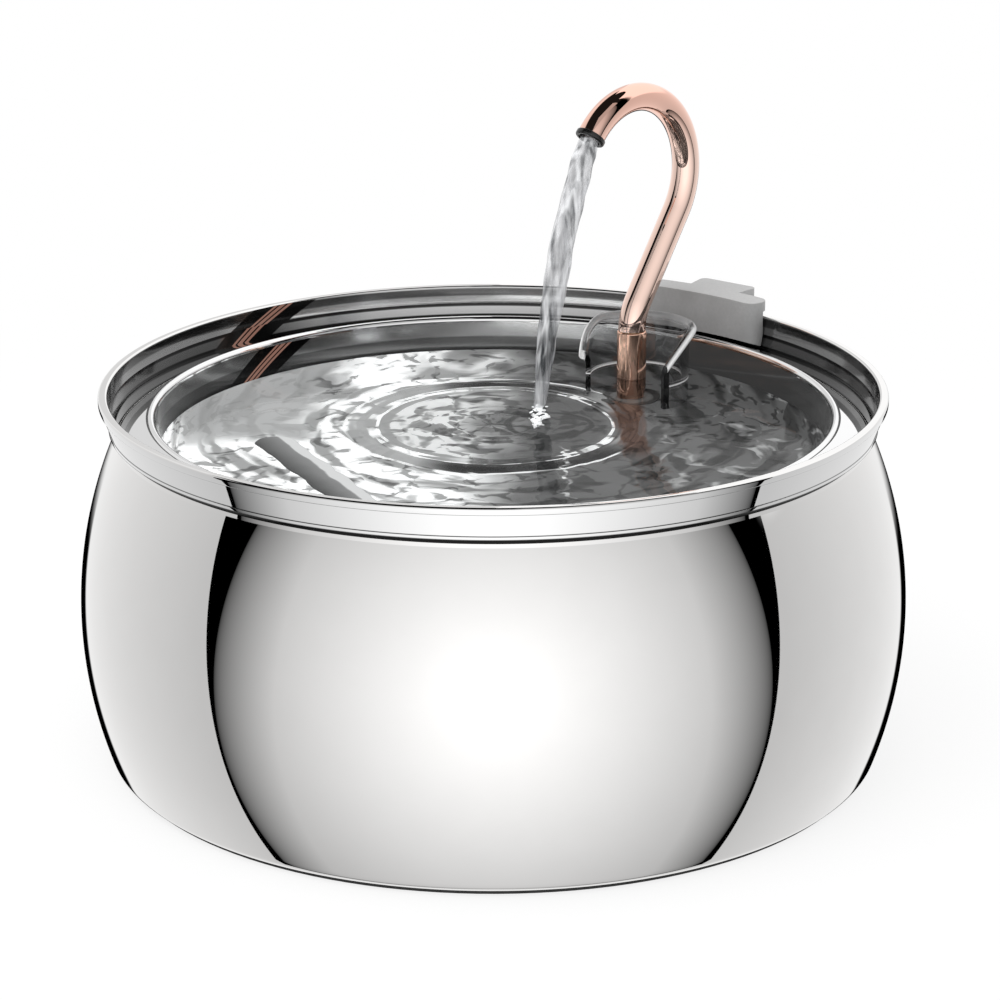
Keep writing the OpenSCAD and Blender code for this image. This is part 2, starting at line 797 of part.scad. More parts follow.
module intake_cover() color("white") in_pump() {
    difference() {
        translate([(cover_front + cover_back) / 2, 0, 0])
            linear_extrude(pump_h) polygon(round_box(cover_l, pump_w, 1.2));
        block([cover_inside, cover_wall - pump_w / 2, cover_wall],
            [cover_back + past, pump_w / 2 - cover_wall, pump_h - cover_wall]);
        for (y = [-grille_half : grille_pitch : grille_half])
            block([cover_front - past, y - grille_slot / 2, grille_foot],
                [cover_inside + past, y + grille_slot / 2, slider_z - slip - 2 * rail]);
        block([cover_front - past, -(knob_w + flow_travel) / 2 - slip, knob_z - slip],
            [cover_inside + past, (knob_w + flow_travel) / 2 + slip, knob_z + knob_h + slip]);
    }
    for (z = [slider_z - slip - rail, slider_z + slider_h + slip])
        block([cover_inside - 0.2, -rail_half, z], [cover_inside + rail_deep, rail_half, z + rail]);
}

module intake_foam() color("darkgray") in_pump()
    block([cover_inside + rail_deep + 0.2, cover_wall - pump_w / 2, cover_wall],
        [-pump_front - lip_l - slip, pump_w / 2 - cover_wall, pump_h - cover_wall]);

module flow_slider() color("dimgray") in_pump() {
    plate = cover_inside + slip;
    block([plate, -flow_travel, slider_z], [plate + slider_t, 0, slider_z + slider_h]);
    block([cover_front - knob_out, -(knob_w + flow_travel) / 2, knob_z],
        [plate + slider_t / 2, (knob_w - flow_travel) / 2, knob_z + knob_h]);
}

// ---- Filter cassette on its rails under the drain slot ----

filter_top = tray_under - filter_drop;
filter_z = filter_top - filter_h;
rail_in = filter_w / 2 + slip;
rail_z = filter_z - slip - rail_wall;
rail_from = -filter_l / 2 - slip - rail_wall;
rail_to = filter_l / 2 - 4;
rail_lip = 3;
lid_h = 1.4;
mesh_pitch = 7;
mesh_slot = 4;
mesh_half = filter_w / 2 - 3;

module filter_rails() color("whitesmoke") at_slot(0) {
    for (side = [-1, 1]) {
        low = side < 0 ? -rail_in - rail_wall : rail_in;
        lip = side < 0 ? low : rail_in - rail_lip;
        block([rail_from, low, rail_z], [rail_to, low + rail_wall, tray_under]);
        block([rail_from, lip, rail_z], [rail_to, lip + rail_lip + rail_wall, rail_z + rail_wall]);
    }
    block([rail_from, -rail_in - rail_wall, rail_z],
        [rail_from + rail_wall, rail_in + rail_wall, tray_under]);
}

module mesh_cuts(from, height) {
    half = filter_l / 2 - filter_wall - mesh_slot;
    for (x = [-half : mesh_pitch : half])
        block([x, -mesh_half, from - past], [x + mesh_slot, mesh_half, from + height + past]);
}

module filter_frame() color("white") at_slot(0)
    difference() {
        translate([0, 0, filter_z]) linear_extrude(filter_h) polygon(round_box(filter_l, filter_w, 2));
        block([filter_wall - filter_l / 2, filter_wall - filter_w / 2, filter_z + filter_wall],
            [filter_l / 2 - filter_wall, filter_w / 2 - filter_wall, filter_top + past]);
        mesh_cuts(filter_z, filter_wall);
    }

module filter_layer(from, to) {
    block([filter_wall - filter_l / 2, filter_wall - filter_w / 2, from],
        [filter_l / 2 - filter_wall, filter_w / 2 - filter_wall, to]);
}

wool_top = filter_z + filter_wall + wool_h;

module filter_wool() color("white") at_slot(0) filter_layer(filter_z + filter_wall, wool_top);

module filter_carbon() color("black") at_slot(0) filter_layer(wool_top, filter_top - lid_h);

module filter_lid() color("whitesmoke") at_slot(0)
    difference() {
        filter_layer(filter_top - lid_h, filter_top);
        mesh_cuts(filter_top - lid_h, lid_h);
    }

// ---- Cord guide between the tray and the rim ----

guide_top = bowl_h + guide_rise;
guide_back_r = rim_r - 0.5;
guide_foot = edge_z - 1;
stem_r = rim_r + stem_out;

function polar(r, a) = r * [cos(a), sin(a)];

// The guide from above, in its own direction: the wide part with the stem out over the rim
guide_end = guide_half - atan(guide_round / guide_back_r);
stem_end = stem_half - atan(stem_round / stem_r);
guide_plan = concat(
    [for (i = [0:8]) polar(guide_in_r, -guide_end + 2 * guide_end * i / 8)],
    arc(polar(guide_in_r + guide_round, guide_end), guide_round,
        guide_end + 150, guide_end + 90, corner_steps),
    arc(polar(guide_back_r - guide_round, guide_end), guide_round,
        guide_end + 90, guide_end, corner_steps),
    [for (i = [0:3]) polar(guide_back_r, guide_end - (guide_end - stem_root) * i / 3)],
    arc(polar(stem_r - stem_round, stem_end), stem_round, stem_end + 90, stem_end, corner_steps),
    arc(polar(stem_r - stem_round, -stem_end), stem_round, -stem_end, -stem_end - 90, corner_steps),
    [for (i = [0:3]) polar(guide_back_r, -stem_root - (guide_end - stem_root) * i / 3)],
    arc(polar(guide_back_r - guide_round, -guide_end), guide_round,
        -guide_end, -guide_end - 90, corner_steps),
    arc(polar(guide_in_r + guide_round, -guide_end), guide_round,
        -guide_end - 90, -guide_end - 150, corner_steps)
);

pad_z = bowl_h + slip;
pad_w = 16;

// Room for the rim and the tray's flange, with the gap that lets the guide lift off
module guide_room() {
    low_in = crease_r - bowl_wall - 1.5 * slip;
    fold_in = rim_in - fold_inset - slip;
    flange_over = slip + 1;
    rotate_extrude()
        polygon([
            [low_in, crease_z], [fold_in, fold_z - slip], [fold_in, pad_z + pad_h],
            [rim_r + slip, pad_z + pad_h], [rim_r + slip, bowl_h - hook_h],
            [stem_r + past, bowl_h - hook_h], [stem_r + past, edge_z - bead_w],
            [low_in - 1, edge_z - bead_w]
        ]);
    rotate_extrude()
        polygon([
            [bead_r, bead_z + flange_over], [edge_r + edge_roll, edge_z + edge_roll + slip],
            [rim_r, edge_z + edge_roll + slip], [rim_r, edge_z - bead_w], [bead_r, edge_z - bead_w]
        ]);
}

// The cord comes up through the tray's notch and runs out over the rim
module guide_channel() {
    half = channel_w / 2;
    from = edge_r - notch_w / 2 + 1;
    block([from, -half, edge_z - bead_w], [rim_r, half, pad_z + channel_h - slip]);
    block([rim_r - past, -half, bowl_h - hook_h - past],
        [stem_r + past, half, pad_z + channel_h - slip]);
}

module cord_guide() color("gray") rotate([0, 0, guide_dir])
    difference() {
        translate([0, 0, guide_foot]) linear_extrude(guide_top - guide_foot) polygon(guide_plan);
        guide_room();
        guide_channel();
    }

module rim_pad() color("black") rotate([0, 0, guide_dir])
    difference() {
        block([rim_in - fold_inset, -pad_w / 2, pad_z], [rim_r, pad_w / 2, pad_z + pad_h]);
        guide_channel();
    }

outer_bowl();
foot_ring();
drinking_tray();
tube_guard();
riser_grommet();
riser_tube();
gooseneck();
spout_ferrule();
spout_orings();
mouth_ring();
pump_housing();
suction_cups();
stator_core();
stator_coil();
potting();
cord_gland();
rear_bush();
impeller_shaft();
rotor_magnet();
impeller_wheel();
impeller_cover();
front_bush();
outlet_coupler();
intake_cover();
intake_foam();
flow_slider();
filter_rails();
filter_frame();
filter_wool();
filter_carbon();
filter_lid();
cord_guide();
rim_pad();
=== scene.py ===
import json
import math

import bmesh
import bpy
from mathutils import Matrix, Vector


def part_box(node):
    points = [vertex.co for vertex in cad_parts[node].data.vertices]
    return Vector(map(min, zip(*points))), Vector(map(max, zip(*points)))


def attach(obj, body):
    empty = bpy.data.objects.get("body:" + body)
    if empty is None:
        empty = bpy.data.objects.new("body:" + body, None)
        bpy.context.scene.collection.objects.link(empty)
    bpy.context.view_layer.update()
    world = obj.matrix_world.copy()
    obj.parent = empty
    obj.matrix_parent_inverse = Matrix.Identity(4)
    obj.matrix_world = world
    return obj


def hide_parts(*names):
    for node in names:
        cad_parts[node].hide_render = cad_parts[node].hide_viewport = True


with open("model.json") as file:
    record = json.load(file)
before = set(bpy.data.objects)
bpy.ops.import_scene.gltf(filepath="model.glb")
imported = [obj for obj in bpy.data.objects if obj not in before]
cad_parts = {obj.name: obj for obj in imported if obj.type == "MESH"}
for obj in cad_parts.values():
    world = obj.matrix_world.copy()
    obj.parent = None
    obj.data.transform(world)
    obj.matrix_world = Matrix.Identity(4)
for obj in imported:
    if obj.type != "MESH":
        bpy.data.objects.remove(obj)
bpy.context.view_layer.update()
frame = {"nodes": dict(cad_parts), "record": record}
nodes = frame["nodes"]
scene = bpy.context.scene


def mm(value):
    return value / 1000


# ---- Sizes: what the solids give, then what they don't ----

FOOT_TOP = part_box("foot_ring")[1].z
RIM_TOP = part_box("outer_bowl")[1].z
BELLY_R = -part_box("outer_bowl")[0].x
RISER_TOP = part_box("riser_tube")[1].z
RISER_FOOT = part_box("riser_tube")[0].z
TRAY_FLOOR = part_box("tube_guard")[0].z
BEAD_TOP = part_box("drinking_tray")[1].z

SHEET = mm(0.8)
RIM_R = mm(113)
RIM_LAND = mm(2.6)
HEM = mm(2)
HEM_STEP = mm(0.4)
FOLD = mm(5.5)
FOLD_LEAN = mm(0.5)
CREASE_R = mm(110.1)
CREASE_Z = RIM_TOP - mm(8.8)
CREASE_H = mm(0.9)
NECK_R = mm(109.2)
NECK_BAND = mm(3.2)
BELLY_Z = mm(44.5)
BELLY_ARC = mm(124.3)
HEEL = mm(3)

BEAD_R = mm(98.4)
BEAD = mm(1.4)
EDGE_R = mm(107.9)
EDGE_ROLL = mm(0.6)
EDGE_Z = BEAD_TOP - mm(3.1)
TRAY_R = mm(94)
TRAY_FILLET = mm(6)
TRAY_UNDER = TRAY_FLOOR - SHEET
SLOT_L = mm(74)
SLOT_W = mm(12)
SLOT_AT = (mm(-50.98), mm(-7.98))
SLOT_TURN = math.radians(-64.8)
GROMMET_HOLE = mm(7)
NOTCH_W = mm(7)

SPOUT_R = mm(78.3)
SPOUT_DIR = math.radians(57.4)
SPOUT = Vector((SPOUT_R * math.cos(SPOUT_DIR), SPOUT_R * math.sin(SPOUT_DIR), 0))
RISER_R = mm(4.5)
TUBE_R = mm(4.19)
TUBE_BORE = mm(3.2)
SOCKET_R = mm(3.98)
SOCKET_L = mm(14.3)
LEAN_DIR = math.radians(46.5)
BEND_R = mm(15)
LEAN = math.radians(34)
LEAN_L = mm(30.8)
ARCH_R = mm(24.5)
ARCH_TURN = math.radians(173.6)
MOUTH_R = mm(4.6)
MOUTH_L = mm(1.6)
TURN_GAP = mm(0.2)

GUARD_AT = mm(79.7)
GUARD_DIR = math.radians(56.5)
GUARD_R = mm(15.8)
GUARD_WALL = mm(1.5)
GUARD_LIP = mm(2.2)
GUARD_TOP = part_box("tube_guard")[1].z
GUARD_WRAP = math.radians(118)
GUARD_SWEEP = mm(9)

GUIDE_DIR = math.radians(52.2)

WATER_Z = mm(92.5)
RING_AT = (mm(0.4), mm(15.6))
RING_R = mm(41.5)
# How far behind its place on the surface a spot on the floor shows in the front view
SUNK = mm(22)


# ---- Helpers ----


# The kinds of node that most finishes are made of, and how two of them are set
MATH = "ShaderNodeMath"
VECTOR = "ShaderNodeVectorMath"
RANGE = "ShaderNodeMapRange"
MIX = "ShaderNodeMix"
NOISE = "ShaderNodeTexNoise"
SPLIT = "ShaderNodeSeparateXYZ"
SOFT = {"interpolation_type": "SMOOTHSTEP"}
TINTS = {"data_type": "RGBA", "out": 2}


def fill(tree, node, inputs):
    """Sets a node's inputs, by name or in order: an output socket is linked, None is passed by."""
    for key, value in inputs.items() if isinstance(inputs, dict) else enumerate(inputs):
        if isinstance(value, bpy.types.NodeSocket):
            tree.links.new(value, node.inputs[key])
        elif value is not None:
            node.inputs[key].default_value = value


def add(tree, kind, inputs=(), out=0, stops=(), **settings):
    """Adds a node with its settings, colour stops and links, and gives one of its outputs."""
    made = tree.nodes.new(kind)
    for key, value in settings.items():
        setattr(made, key, value)
    for i, (at, shade) in enumerate(stops):
        marks = made.color_ramp.elements
        mark = marks[i] if i < len(marks) else marks.new(1.0)
        mark.position = at
        mark.color = shade
    fill(tree, made, inputs)
    return made.outputs[out] if len(made.outputs) else None


def colour(code):
    """A linear colour from an sRGB hex value."""
    parts = (int(code[i : i + 2], 16) / 255 for i in (1, 3, 5))
    return (*(c / 12.92 if c <= 0.04045 else ((c + 0.055) / 1.055) ** 2.4 for c in parts), 1.0)


def arc(middle, radius, start, end, steps):
    """Points on an arc between two angles in degrees."""
    angles = (math.radians(start + (end - start) * i / steps) for i in range(steps + 1))
    return [(middle[0] + radius * math.cos(a), middle[1] + radius * math.sin(a)) for a in angles]


def eased(corners, steps=4):
    """An open outline whose corners (across, up, radius) are rounded by their own radius."""
    points = []
    for i, (x, y, radius) in enumerate(corners):
        here = Vector((x, y))
        if radius == 0 or i in (0, len(corners) - 1):
            points.append((x, y))
            continue
        back = (Vector(corners[i - 1][:2]) - here).normalized()
        on = (Vector(corners[i + 1][:2]) - here).normalized()
        half = back.angle(on) / 2
        middle = here + (back + on).normalized() * (radius / math.sin(half))
        first = here + back * (radius / math.tan(half)) - middle
        last = here + on * (radius / math.tan(half)) - middle
        for k in range(steps + 1):
            spoke = first.lerp(last, k / steps).normalized() * radius
            points.append(tuple(middle + spoke))
    return points


def turned(outline, sides):
    """Points and faces of an outline (radius, height) turned round the Z axis."""
    points, rows = [], []
    for r, z in outline:
        if r < 1e-7:
            rows.append([len(points)] * sides)
            points.append((0, 0, z))
            continue
        rows.append(list(range(len(points), len(points) + sides)))
        for k in range(sides):
            a = 2 * math.pi * k / sides
            points.append((r * math.cos(a), r * math.sin(a), z))
    closed = outline[0][0] > 1e-7
    pairs = list(zip(rows, rows[1:] + rows[:1] if closed else rows[1:]))
    faces = []
    for low, high in pairs:
        for k in range(sides):
            j = (k + 1) % sides
            corners = [low[k], low[j], high[j], high[k]]
            faces.append(list(dict.fromkeys(corners)))
    return points, faces


def swept(hoops):
    """Points and faces of a skin over equal hoops of points, open at both ends."""
    count = len(hoops[0])
    points = [p for hoop in hoops for p in hoop]
    faces = [
        [i * count + j, i * count + (j + 1) % count, (i + 1) * count + (j + 1) % count, (i + 1) * count + j]
        for i in range(len(hoops) - 1)
        for j in range(count)
    ]
    return points, faces


def mesh_of(name, points, faces, crease=32):
    """A mesh object with its faces outward, smooth up to an angle in degrees."""
    mesh = bpy.data.meshes.new(name)
    mesh.from_pydata(points, [], faces)
    shape = bmesh.new()
    shape.from_mesh(mesh)
    bmesh.ops.remove_doubles(shape, verts=shape.verts, dist=1e-7)
    if shape.calc_volume(signed=True) < 0:
        bmesh.ops.reverse_faces(shape, faces=shape.faces)
    shape.to_mesh(mesh)
    shape.free()
    mesh.shade_smooth()
    mesh.set_sharp_from_angle(angle=math.radians(crease))
    made = bpy.data.objects.new(name, mesh)
    scene.collection.objects.link(made)
    return made


def settled(piece, crease=32):
    """Turns a piece with modifiers into the plain mesh that they make."""
    graph = bpy.context.evaluated_depsgraph_get()
    mesh = bpy.data.meshes.new_from_object(piece.evaluated_get(graph))
    piece.modifiers.clear()
    piece.data = mesh
    mesh.shade_smooth()
    mesh.set_sharp_from_angle(angle=math.radians(crease))
    return piece


def cut(piece, cutters):
    """Takes the cutters out of a piece."""
    for cutter in cutters:
        change = piece.modifiers.new("cut", "BOOLEAN")
        change.object = cutter
        change.solver = "EXACT"
    settled(piece)
    for cutter in cutters:
        bpy.data.objects.remove(cutter)
    return piece


def prism(name, outline, low, high):
    """A solid with an outline (x, y) between two heights."""
    count = len(outline)
    points = [(x, y, z) for z in (low, high) for x, y in outline]
    faces = [list(range(count))[::-1], list(range(count, 2 * count))]
    faces += [[j, (j + 1) % count, count + (j + 1) % count, count + j] for j in range(count)]
    return mesh_of(name, points, faces)


def place(piece, body, material, slot, *stands_for):
    """Gives a piece its finish and joins it to the body that carries it."""
    piece.data.materials.clear()
    piece.data.materials.append(material)
    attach(piece, body)
    if stands_for:
        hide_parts(*stands_for)
    return piece


# ---- Finishes ----


WHITE = colour("#FFFFFF")
WATER_IOR = 1.333
# How much light the polished steel gives back
STEEL = 0.84


def finish(name, **shader):
    """A material with one Principled shader, and what a pattern on it starts from."""
    made = bpy.data.materials.new(name)
    made.use_nodes = True
    tree = made.node_tree
    bsdf = tree.nodes["Principled BSDF"]
    fill(tree, bsdf, {key.replace("_", " "): value for key, value in shader.items()})
    where = add(tree, "ShaderNodeTexCoord", out="Object")
    return made, tree, bsdf, where


def mottled(name, dark, light, grain, gloss, relief=0.0, **shader):
    """A finish whose colour, gloss and relief vary softly at the size of its own grain."""
    made, tree, bsdf, where = finish(name, **shader)
    fleck = add(tree, NOISE, {"Vector": where, "Scale": 1 / grain, "Detail": 5.0})
    cloud = add(tree, NOISE, {"Vector": where, "Scale": 0.12 / grain, "Detail": 3.0})
    both = add(tree, MATH, (fleck, cloud), operation="MULTIPLY")
    spread = add(tree, RANGE, (both, 0.12, 0.42))
    tint = add(tree, MIX, {0: spread, 6: colour(dark), 7: colour(light)}, **TINTS)
    rough = add(tree, RANGE, (cloud, 0.3, 0.7, *gloss))
    fill(tree, bsdf, {"Base Color": tint, "Roughness": rough})
    if relief:
        bump = add(tree, "ShaderNodeBump", {"Height": fleck, "Distance": relief, "Strength": 0.6})
        fill(tree, bsdf, {"Normal": bump})
    return made


# Stainless sheet, buffed to a mirror: sharp reflections with only a faint haze from wiping
polished_steel = mottled("polished_stainless", "#EAE9E8", "#ECEBEA", mm(9), (0.012, 0.022), Metallic=1.0)
# Brass turned on a lathe: warm yellow, with a soft sheen that the tool left
turned_brass = mottled("turned_brass", "#B9985A", "#D2B476", mm(1), (0.2, 0.3), Metallic=1.0)
# Injection-moulded ABS from a fine spark-eroded mould: soft sheen, no mirror
grey_abs = mottled("grey_abs", "#A6A6A6", "#B0B0B0", mm(0.9), (0.42, 0.52), mm(0.02), IOR=1.54)
# The same in off-white, for the filter's case: a little glossier, faintly warm
white_abs = mottled("white_abs", "#D9D9D6", "#E6E6E3", mm(0.9), (0.36, 0.46), mm(0.02), IOR=1.54)
# The same in near-black grey, for the pump's body: a dull, even skin
dark_abs = mottled("dark_grey_abs", "#26272A", "#303135", mm(0.9), (0.4, 0.5), mm(0.02), IOR=1.54)
# Black ABS from a polished mould: smooth, with small sharp highlights
black_abs = mottled("black_abs", "#0B0B0B", "#141414", mm(0.9), (0.1, 0.2), IOR=1.54)
# Air bubbles in water: small and white, with a painted glow for the light each one throws back
air_bubbles = mottled("air_bubbles", "#EEF0F1", "#FFFFFF", mm(2), (0.1, 0.2), Emission_Strength=0.5)
# Cast silicone: smoke grey and a little clear, with a waxy shine
silicone = mottled(
    "smoked_silicone", "#4C4A49", "#5E5C5A", mm(3), (0.3, 0.45), IOR=1.41, Transmission_Weight=0.3
)
# Moulded nitrile rubber: black and matt, with a fine bloom
black_rubber = mottled("nitrile_rubber", "#0C0C0C", "#1A1A1A", mm(0.6), (0.5, 0.7), mm(0.02), IOR=1.52)
# Stamped silicon-steel plates in a stack: dull blue-grey metal
core_steel = mottled("core_laminations", "#45474B", "#5E6165", mm(0.5), (0.35, 0.55), Metallic=1.0)
# Wound copper wire under enamel: red-brown, with a varnished shine
enamelled_wire = mottled("enamelled_wire", "#7A3A1E", "#B0603A", mm(0.4), (0.2, 0.35), Metallic=0.6)
# Poured epoxy: nearly black, and glossy where it levelled itself
epoxy = mottled("potting_epoxy", "#101214", "#1C1F22", mm(4), (0.08, 0.2), IOR=1.55)
# Painted shade for the guard's acrylic seen end on through its whole width: almost black, with a polished
# cut edge
painted_dark_edge = mottled("acrylic_edge", "#0E0E0F", "#1C1C1E", mm(2), (0.05, 0.12), IOR=1.49)
# Ground alumina: a warm white rod with a satin shine
ceramic = mottled("ground_ceramic", "#DAD8D0", "#EAE8E2", mm(0.5), (0.15, 0.25), IOR=1.76)
# Sintered ferrite: charcoal grey and slightly gritty
ferrite = mottled("sintered_ferrite", "#19191B", "#2A2A2D", mm(0.4), (0.45, 0.6), mm(0.02), IOR=2.4)
# Needled polyester: soft loose fibres that lie every way
filter_wool = mottled(
    "polyester_wool", "#C9C8C2", "#F0EFEA", mm(0.7), (0.85, 0.95), mm(0.4), Sheen_Weight=0.4
)
# Open-cell polyurethane foam: black, pitted and quite dull
foam = mottled("open_cell_foam", "#141414", "#3A3A3A", mm(0.8), (0.8, 0.95), mm(0.5))
# Loose carbon grains: black, with a glint on some of them
carbon = mottled("carbon_grains", "#060606", "#2B2B2B", mm(1.2), (0.35, 0.7), mm(0.8))


def clear_guard():
    """Smoky acrylic, glossy, with painted highlights: its thick lip and a thin line at the water's height
    are paler, let less light through and glow a little.
    """
    made, tree, bsdf, where = finish(
        "smoked_acrylic", Transmission_Weight=1.0, IOR=1.49, Base_Color=colour("#FAFAFA")
    )
    haze = add(tree, NOISE, {"Vector": where, "Scale": 1 / mm(12), "Detail": 2.0})
    flat = add(tree, VECTOR, (where, (1, 1, 0)), operation="MULTIPLY")
    middle = (GUARD_AT * math.cos(GUARD_DIR), GUARD_AT * math.sin(GUARD_DIR), 0)
    out = add(tree, VECTOR, (flat, middle), "Value", operation="DISTANCE")
    lip = add(tree, RANGE, (out, GUARD_R + mm(1.0), GUARD_R + mm(2.1), 0.0, 0.9))
    height = add(tree, SPLIT, (where,), 2)
    line = add(tree, MATH, (height, WATER_Z + mm(0.3), mm(0.22)), operation="COMPARE")
    # Painted highlight: the lip and the line at the water's height
    pale = add(tree, MATH, (lip, line), operation="MAXIMUM")
    fill(tree, bsdf, {
        "Roughness": add(tree, RANGE, (haze, 0.0, 1.0, 0.0, 0.02)),
        "Transmission Weight": add(tree, RANGE, (pale, 0.0, 1.0, 1.0, 0.15)),
        "Emission Strength": add(tree, RANGE, (pale, 0.0, 1.0, 0.0, 0.18)),
    })
    smoke = add(tree, "ShaderNodeVolumeAbsorption", {"Color": colour("#A0A0A2"), "Density": 210.0})
    fill(tree, tree.nodes["Material Output"], {"Volume": smoke})
    return made


def pool_water():
    """Clean water: colourless and sharp, a little grey where it is deep."""
    made, tree, bsdf, where = finish("pool_water", Transmission_Weight=1.0, IOR=WATER_IOR, Roughness=0.0)
    depth = add(tree, NOISE, {"Vector": where, "Scale": 1 / mm(30)})
    tint = add(tree, MIX, {0: depth, 6: colour("#F8FAFA"), 7: colour("#FDFEFE")}, **TINTS)
    fill(tree, bsdf, {"Base Color": tint})
    # The glossy part is held back, so the black of the ripples stays black
    plain = add(tree, "ShaderNodeBsdfRefraction", {"Color": tint, "IOR": WATER_IOR, "Roughness": 0.0})
    calm = add(tree, "ShaderNodeMixShader", (0.65, bsdf.outputs[0], plain))
    # Lamp light passes the surface straight, so the tray under it is lit as it is in air
    clear = add(tree, "ShaderNodeBsdfTransparent", {"Color": colour("#F8F9F9")})
    shadow = add(tree, "ShaderNodeLightPath", out="Is Shadow Ray")
    mixed = add(tree, "ShaderNodeMixShader", (shadow, calm, clear))
    murk = add(tree, "ShaderNodeVolumeAbsorption", {"Color": colour("#C4C5C5"), "Density": 6.0})
    fill(tree, tree.nodes["Material Output"], {"Surface": mixed, "Volume": murk})
    return made


def painted_deep_shade():
    """Painted shade for the full bowl under the slot: dark, with painted light a little lighter toward the
    slot's inner side and a brighter strip at its edge.
    """
    made, tree, bsdf, where = finish(
        "painted_deep_shade", Roughness=0.6, Base_Color=colour("#1A1C1C"), Emission_Color=WHITE
    )
    from_slot = add(tree, VECTOR, (where, (*SLOT_AT, 0)), operation="SUBTRACT")
    across = (-math.sin(SLOT_TURN), math.cos(SLOT_TURN), 0)
    over = add(tree, VECTOR, (from_slot, across), "Value", operation="DOT_PRODUCT")
    swirl = add(tree, NOISE, {"Vector": where, "Scale": 1 / mm(9), "Detail": 2.0})
    over = add(tree, MATH, (swirl, mm(1.6), over), operation="MULTIPLY_ADD")
    # Painted light: a glow across the slot toward its inner side, and a brighter strip along its edge
    light = add(tree, RANGE, (over, mm(-6.5), mm(3), 0.0, 0.25))
    edge = add(tree, RANGE, (over, mm(3.2), mm(3.8), 0.0, 0.5))
    fill(tree, bsdf, {"Emission Strength": add(tree, MATH, (light, edge), operation="ADD")})
    return made


def falling_water():
    """Fast water with air in it: half clear, drawn out in long pale and grey streaks; the grey streaks are
    painted shade, and all of them glow faintly as painted light.
    """
    # The streaks' colour also glows faintly, as painted light
    made, tree, bsdf, where = finish(
        "falling_water", IOR=WATER_IOR, Roughness=0.25, Emission_Strength=0.08
    )
    drawn = add(tree, VECTOR, (where, (1, 1, 0.07)), operation="MULTIPLY")
    streak = add(tree, NOISE, {"Vector": drawn, "Scale": 1 / mm(2.3), "Detail": 2.0})
    grey = add(tree, RANGE, (streak, 0.4, 0.6))
    shade = add(tree, MIX, {0: grey, 6: colour("#3E4144"), 7: colour("#F2F3F5")}, **TINTS)
    fill(tree, bsdf, {"Base Color": shade, "Emission Color": shade})
    froth = {"Vector": drawn, "Scale": 1 / mm(2.6), "Detail": 1.0, "Distortion": 0.5}
    body = add(tree, RANGE, (add(tree, NOISE, froth), 0.4, 0.62, 0.25, 0.7))
    clear = add(tree, "ShaderNodeBsdfTransparent", {"Color": colour("#F7F7F8")})
    mixed = add(tree, "ShaderNodeMixShader", (body, clear, bsdf.outputs[0]))
    fill(tree, tree.nodes["Material Output"], {"Surface": mixed})
    return made


def plated(name, low, high, low_tint, high_tint, gloss):
    """Steel tube under rose-copper plating: a warm mirror whose tint changes with height as painted light
    and shade.
    """
    made, tree, bsdf, where = finish(name, Metallic=1.0)
    film = add(tree, NOISE, {"Vector": where, "Scale": 1 / mm(7), "Detail": 3.0})
    rise = add(tree, RANGE, (add(tree, SPLIT, (where,), 2), low, high))
    share = add(tree, MATH, (film, 0.1, rise), operation="MULTIPLY_ADD")
    tint = add(tree, MIX, {0: share, 6: colour(low_tint), 7: colour(high_tint)}, **TINTS)
    rough = add(tree, RANGE, (film, 0.0, 1.0, *gloss))
    fill(tree, bsdf, {"Base Color": tint, "Roughness": rough})
    return made


def bands(tree, value, stops):
    """A grey that follows a value in mm through a list of (value, grey) stops."""
    low, high = stops[0][0], stops[-1][0]
    share = add(tree, RANGE, (value, mm(low), mm(high)))
    marks = [((at - low) / (high - low), (grey, grey, grey, 1)) for at, grey in stops]
    return add(tree, "ShaderNodeValToRGB", (share,), stops=marks)


def patch(tree, *spans):
    """A soft-edged patch, where each value has passed its span (value, from, to, out, out)."""
    whole = None
    for span in spans:
        share = add(tree, RANGE, span, **SOFT)
        whole = share if whole is None else add(tree, MATH, (whole, share), operation="MULTIPLY")
    return whole


def stroke(tree, value, line, full, gone, strength, *spans):
    """A soft stroke along a line: strong up to one distance from it and gone at the next."""
    off = add(tree, MATH, (value, line), operation="SUBTRACT")
    off = add(tree, MATH, (off,), operation="ABSOLUTE")
    return patch(tree, (off, full, gone, strength, 0.0), *spans)


def painted_spout_reflection(tree, where, turn, level):
    """A painted reflection of the copper spout on the steel: thin bright copper lines in a black patch."""
    x, y, z = add(tree, SPLIT, (where,)).node.outputs
    angle = add(tree, MATH, (y, x), operation="ARCTAN2")
    angle = add(tree, MATH, (angle,), operation="DEGREES")
    # The painted reflection leans: it moves round the bowl by about one degree for each mm of height
    slant = 1.05 / mm(1)
    lean = add(tree, MATH, (z, slant, -level * slant - turn), operation="MULTIPLY_ADD")
    off = add(tree, MATH, (angle, lean), operation="ADD")
    half = 6.0
    spout_reflection_mask = add(tree, MATH, (off, 0.0, half), operation="COMPARE")
    share = add(tree, RANGE, (off, -half, half))
    black, copper = colour("#030303"), colour("#866357")
    edges = (0.0, 0.36, 0.43, 0.47, 0.56, 0.6, 0.66)
    stops = [(at, copper if i % 2 else black) for i, at in enumerate(edges)]
    painted_reflection = add(tree, "ShaderNodeValToRGB", (share,), stops=stops)
    painted_reflection.node.color_ramp.interpolation = "CONSTANT"
    return spout_reflection_mask, painted_reflection


